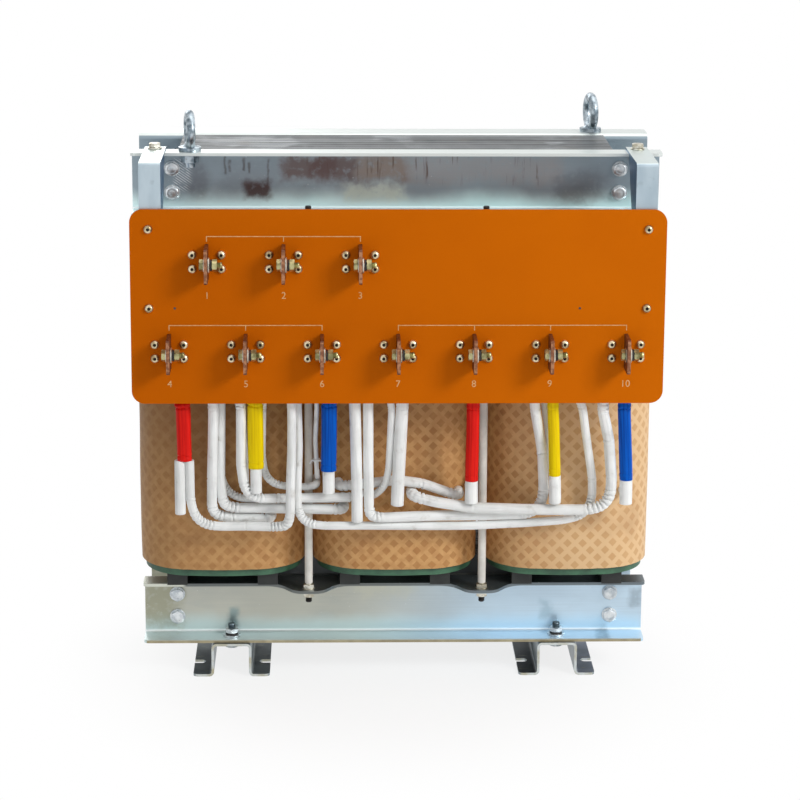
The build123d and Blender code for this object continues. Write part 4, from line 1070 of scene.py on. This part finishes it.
def tube(builder, line, width, thickness, seed, end_open=False):
    """A soft sleeve along a line, with folds inside its bends and faint folds along it."""
    uv = builder.loops.layers.uv.verify()
    bends, last = curvature(line), len(line) - 1
    size = (width + thickness) / 2
    lengths = [turn / RING_SIDES * math.pi * size for turn in range(RING_SIDES + 1)]
    side = Z_AXIS if abs((line[1] - line[0]).normalized().x) > 0.9 else X_AXIS
    stations = []
    for index, bend in enumerate(bends):
        amount = min(1, max(0, (bend.length * size - PLEAT_START) / PLEAT_RANGE))
        if index in (0, last) or index - stations[-1][0] >= (1 if amount > 0.05 else PLAIN_STEP):
            stations.append((index, amount))
    before, along_before = None, 0
    for index, amount in stations:
        tangent = (line[min(index + 1, last)] - line[max(index - 1, 0)]).normalized()
        side = (side - tangent * side.dot(tangent)).normalized()
        other = tangent.cross(side)
        inward = bends[index].normalized() if bends[index].length > 1e-6 else side
        along = index * MM
        near_end = min(1, index / END_FADE, (last - index) / END_FADE)
        ring = []
        for step in range(RING_SIDES):
            angle = 2 * math.pi * step / RING_SIDES
            cosine, sine = math.cos(angle), math.sin(angle)
            ray = side * cosine + other * sine
            inside = 0.5 + 0.5 * ray.dot(inward)
            spot = Vector((1.2 * cosine, 1.2 * sine, along * SWAY_SCALE + seed))
            phase = 2 * math.pi * along / (PLEAT_PITCH * size) + PLEAT_SWAY * noise.noise(spot)
            groove = (0.5 + 0.5 * math.cos(phase))**4
            fold = -groove * (0.25 + 0.75 * inside) + 0.3 * (1 - groove) * inside
            slack = noise.noise(Vector((2 * cosine, 2 * sine, along * SLACK_SCALE + seed)))
            reach = math.hypot(width / 2 * cosine, thickness / 2 * sine)
            reach += near_end * size * (PLEAT_DEPTH * amount * fold + SLACK * slack)
            ring.append(builder.verts.new(line[index] + ray * reach))
        if before:
            mapped_faces(builder, uv, before, ring, lengths, along_before, along)
        before, along_before = ring, along
        if index in (0, last):
            lip(builder, ring, line[index], tangent if index else -tangent, end_open and index > 0)


def lip(builder, ring, middle, outward, is_open):
    """Closes a sleeve's end: flat where it is hidden, and turned in to a mouth dark with painted shade
    if open.
    """
    edge = ring
    for inset, depth in ((LIP_INSET, LIP_DEPTH),
                         (MOUTH_INSET, MOUTH_DEPTH if is_open else LIP_DEPTH)):
        inner = [builder.verts.new(vertex.co.lerp(middle, inset) + outward * depth)
                 for vertex in ring]
        ring_faces(builder, edge, inner)
        edge = inner
    builder.faces.new(edge).material_index = int(is_open)


def lead(builder, size, dropped, route, seed):
    """One lead. A dropped one ends square below its last corner, with a stub to the winding."""
    size *= FULLNESS * MM
    if not dropped:
        tube(builder, flowing(route), size, size, seed)
        return
    x, y, z = route[-2]
    cut = z * MM - CUT_SHARE * size
    line = [point for point in flowing([*route[:-1], (x, y, z - 40)]) if point.z > cut]
    line.append(Vector((x * MM, CORE_Y + y * MM, cut)))
    tube(builder, line, 1.04 * size, 0.94 * size, seed, end_open=True)
    tube(builder, flowing(route[-2:]), STUB_SHARE * size, STUB_SHARE * size, seed + 5)


# Each lead's size, how it ends and its route
LEADS = {
    "leads_left": [
        (15, DROPPED, (-336.5, -204, RED_END), *to_coil(-336.5, 203, 302.5, 15)),
        (13.5, JOINED, (-321.5, -204, RED_END), (-321, -202, 318), (-314, -199, 288),
         (-296, -197, 274.5), (-270, -195, 272.5), (-235, -194, 272.5), (-190, -198, 272.5),
         (-168, -207, 276), (-165.5, -210, 300), (-165, -212, 345), (-163, -214, 400),
         (-162.5, -217, 470), *reversed(from_lug(-184, INPUT_LUGS))),
        (15, JOINED, *from_lug(-302, INPUT_LUGS), (-283, -217, 470), (-287, -200, 350),
         (-289, -181, 287), (-256, -177, 281), *to_coil(-196, 176, 279, 15)),
        (15, JOINED, *from_lug(-284, INPUT_LUGS), (-273, -199, 470), (-275, -188, 350),
         (-271, -184, 303), (-252, -180, 297.5), (-215, -178, 297), (-150, -178, 296),
         *to_coil(-82, 178, 294, 15)),
        (11.5, JOINED, *from_lug(-266, INPUT_LUGS), (-275, -182, 470), (-275, -172.5, 350),
         (-266, -171, 322), (-244, -170.5, 310), (-200, -170.5, 309.5), (-150, -170.5, 309.5),
         *to_coil(-84, 170.5, 309, 11.5)),
        (14, JOINED, *from_lug(-258), (-241, -215, 475), (-242, -206, 375),
         (-237, -202, 335), (-220, -194, 316.5), (-185, -186, 315), (-120, -184, 315.5),
         *to_coil(-58, 184, 316, 14)),
        (8, DROPPED, *from_lug(-243), (-238, -199, 470), (-236.5, -178, 390),
         *to_coil(-234.5, 175, 335, 8)),
        (16, DROPPED, (-218.5, -205, YELLOW_END), *to_coil(-218.5, 204, 337, 16)),
        (11, JOINED, *from_lug(-202), (-208, -195, 465), (-210, -181, 385),
         (-206, -178, 350), (-190, -176, 334), (-160, -175, 330.5),
         *to_coil(-125, 175, 330.5, 11)),
    ],
    "leads_centre": [
        (7, JOINED, *from_lug(-131), (-124, -205, 470), (-126.5, -188, 410),
         *to_coil(-124, 178, 340, 7)),
        (17, DROPPED, (-106, -205, BLUE_END), *to_coil(-106, 204, 337, 17)),
        (15, JOINED, *reversed(to_coil(-91, 176, 331, 15)), (-55, -176, 335), (0, -176, 341.5),
         (40, -176, 336), *to_coil(99, 177, 315, 15)),
        (16, DROPPED, *from_lug(-74, INPUT_LUGS), (-65.5, -215, 470), (-62, -205, 340),
         *to_coil(-61.5, 203, 290, 16)),
        (10.5, JOINED, *from_lug(-20), (-8.5, -212, 465), (-12.5, -200, 365),
         (-18, -192, 336), (-32, -183, 320), *to_coil(-43, 174, 314, 10.5)),
        (18, DROPPED, *from_lug(8), (7.5, -215, 470), (3, -206, 370),
         *to_coil(1, 203, 317.5, 18)),
    ],
    "leads_long": [
        (12.5, JOINED, *from_lug(-158, INPUT_LUGS), (-154, -201, 470), (-152.5, -198, 400),
         (-155, -196, 330), (-154, -196, 293), (-138, -197, 276), (-110, -199, 274),
         (-40, -195, 273), (40, -187, 270), (120, -182, 268.5), (200, -178, 271),
         (262, -178, 276), (293, -178, 283), (308, -178, 306), (307, -181, 345),
         (294, -200, 420), (286, -214, 470), *reversed(from_lug(258))),
        (15, JOINED, *from_lug(-45, INPUT_LUGS), (-45, -214, 470), (-44, -204, 345),
         (-43, -203, 289), (-20, -198, 287), (10, -193, 286.5), (70, -185, 286),
         (130, -180, 284.5), (205, -178, 286), (226, -178, 296), (231.5, -179, 322),
         (227, -189, 390), (213, -214, 465), *reversed(from_lug(207))),
    ],
    "leads_right": [
        (16, JOINED, *reversed(to_coil(24, 192, 320, 16)), (62, -195, 311), (118, -196, 302),
         (205, -196, 299), (300, -196, 298), (322, -196, 303), (335, -200, 322),
         (335, -203, 355), (329, -209, 415), (316, -219, 470),
         *reversed(from_lug(326))),
        (18, DROPPED, (116.5, -205, RED_RIGHT_END), *to_coil(116, 204, 321, 18)),
        (10, DROPPED, *from_lug(222), (229, -198, 470), (239, -181, 400),
         *to_coil(246, 174, 338, 10)),
        (17, DROPPED, (246, -205, YELLOW_RIGHT_END), *to_coil(247, 203, 319.5, 17)),
        (18, DROPPED, (357.5, -205, BLUE_RIGHT_END), *to_coil(358, 203, 318.5, 18)),
    ],
}

# Each coloured sleeve's thickness, width and route
SLEEVES = {
    "red": [
        (16, 23, *from_lug(-345), (-330, -214, 475), *to_end(-329, 204, RED_END)),
        (19, 20.5, *from_lug(116), (117, -214, 470),
         *to_end(116.5, 205, RED_RIGHT_END)),
    ],
    "yellow": [
        (17, 24, *from_lug(-223), (-219, -214, 475),
         *to_end(-218.5, 205, YELLOW_END)),
        (17.5, 18, *from_lug(238), (240.5, -214, 470),
         *to_end(246, 205, YELLOW_RIGHT_END)),
    ],
    "blue": [
        (18, 24, *from_lug(-110), (-105, -214, 475), *to_end(-106, 205, BLUE_END)),
        (18.5, 20.5, *from_lug(354), (350.5, -214, 470),
         *to_end(357.5, 205, BLUE_RIGHT_END)),
    ],
}


def lead_pieces():
    """The white leads and the coloured sleeves, one piece for each of their nodes."""
    for count, (node, leads) in enumerate(LEADS.items()):
        builder = bmesh.new()
        builder.loops.layers.uv.new("sleeve")
        for place, (size, dropped, *route) in enumerate(leads):
            lead(builder, size, dropped, route, 11.3 * count + 3.7 * place)
        if node == "leads_centre":
            tie_knot(builder, flowing(leads[0][2:]))
        piece(node + "_sleeved", builder, ["white", "inside"], [node], crease=80)
    for count, (colour, sleeves) in enumerate(SLEEVES.items()):
        builder = bmesh.new()
        builder.loops.layers.uv.new("sleeve")
        for place, (thickness, width, *route) in enumerate(sleeves):
            tube(builder, flowing(route), width * MM, thickness * MM, 5.1 * count + 2.3 * place,
                 end_open=True)
        piece(f"tubes_{colour}", builder, [colour, "inside"],
              [f"sleeves_{colour}"], crease=80)


def tie_knot(builder, line):
    """A short cord tied round the thin lead beside a tie rod, with its two ends."""
    place = min(line, key=lambda point: abs(point.z - TIE_LEVEL))
    for level, size in ((-1.2, 5.2), (1.2, 5.4)):
        turned(builder, place + Z_AXIS * level * MM, Z_AXIS, [
            (-1.4 * MM, 3.6 * MM), (-1 * MM, size * MM), (1 * MM, size * MM),
            (1.4 * MM, 3.6 * MM)], 0, 16)
    for side in (-1, 1):
        corners = (side * 2, -4.5, 0), (side * 7, -6, 1), (side * 10, -6.5, -4)
        cord = spaced([place + Vector(corner) * MM for corner in corners], MM)
        tube(builder, cord, 2.6 * MM, 2.2 * MM, side)


printed_marks()
lead_pieces()
terminal_screws()


# Stage, light and camera
FLOOR_HALF = 30


def stage_floor():
    """A pale floor that keeps the object's shadow and is plain white further off."""
    look = Look("floor", Roughness=0.9, Specular_IOR_Level=0.1)
    look.base = look.mix(look.noise(2, 2), (251, 251, 251), (253, 253, 253))
    distance = look.add("ShaderNodeVectorMath", {0: look.place}, 1, operation="LENGTH")
    share = look.seen() * distance.step(0.2, 0.6).fitted(0.2, 0.8)
    white = look.add("ShaderNodeEmission", {"Color": (1, 1, 1, 1), "Strength": 1})
    shaded = Value(look, look.shader.outputs[0])
    blend = look.add("ShaderNodeMixShader", {0: share, 1: shaded, 2: white})
    look.feed(look.tree.nodes["Material Output"].inputs["Surface"], blend)
    builder = bmesh.new()
    bmesh.ops.create_grid(builder, x_segments=1, y_segments=1, size=FLOOR_HALF)
    mesh = bpy.data.meshes.new("floor")
    builder.to_mesh(mesh)
    builder.free()
    mesh.materials.append(look.done())
    floor = placed("floor", mesh)


def area_light(name, place, aim, size, power, colour=(1, 1, 1)):
    """A square light that faces its aim."""
    lamp = bpy.data.lights.new(name, "AREA")
    lamp.size = size
    lamp.energy = power
    lamp.color = colour
    holder = placed(name, lamp)
    holder.location = place
    holder.rotation_euler = (Vector(aim) - Vector(place)).to_track_quat("-Z", "Y").to_euler()


def studio_world():
    """White where it is seen, and on the rest a softer light that is brighter from the right."""
    world = bpy.data.worlds.new("studio")
    world.use_nodes = True
    nodes = Nodes(world.node_tree)
    background = world.node_tree.nodes["Background"]
    background.inputs["Color"].default_value = (1, 1, 1, 1)
    direction = nodes.add("ShaderNodeTexCoord", (), "Generated")
    sided = nodes.part("X", direction).fitted(0.22, 0.38)
    nodes.feed(background.inputs["Strength"], nodes.seen().fitted(0.62, sided))
    bpy.context.scene.world = world


def camera():
    """The photograph's view: from above, a little to the left, on a long lens."""
    lens = bpy.data.cameras.new("camera")
    lens.lens = 118.06
    lens.sensor_width = 36
    lens.shift_y = -0.13
    lens.clip_end = 100
    holder = placed("camera", lens)
    heading, pitch, roll = math.radians(1.654), math.radians(12.341), math.radians(0.336)
    holder.location = (-0.11, -4.0662, 1.5016)
    forward = Vector((math.sin(heading) * math.cos(pitch), math.cos(heading) * math.cos(pitch),
                      -math.sin(pitch)))
    holder.rotation_mode = "QUATERNION"
    level = forward.to_track_quat("-Z", "Y")
    holder.rotation_quaternion = level @ Matrix.Rotation(roll, 3, "Z").to_quaternion()
    bpy.context.scene.camera = holder


stage_floor()
studio_world()
area_light("key", (3.1, -2.7, 2.7), (0, 0, 0.45), 1.3, 104, (1, 0.99, 0.97))
area_light("fill", (-2.6, -3.4, 1.3), (0, 0, 0.4), 2.4, 8, (0.93, 0.97, 1))
area_light("top", (0.3, 0.1, 3.2), (0, 0, 0.5), 2.2, 15)
area_light("back", (-1.2, 3.0, 2.2), (0, 0, 0.5), 2.0, 26)
camera()
bpy.context.scene.view_settings.view_transform = "Standard"
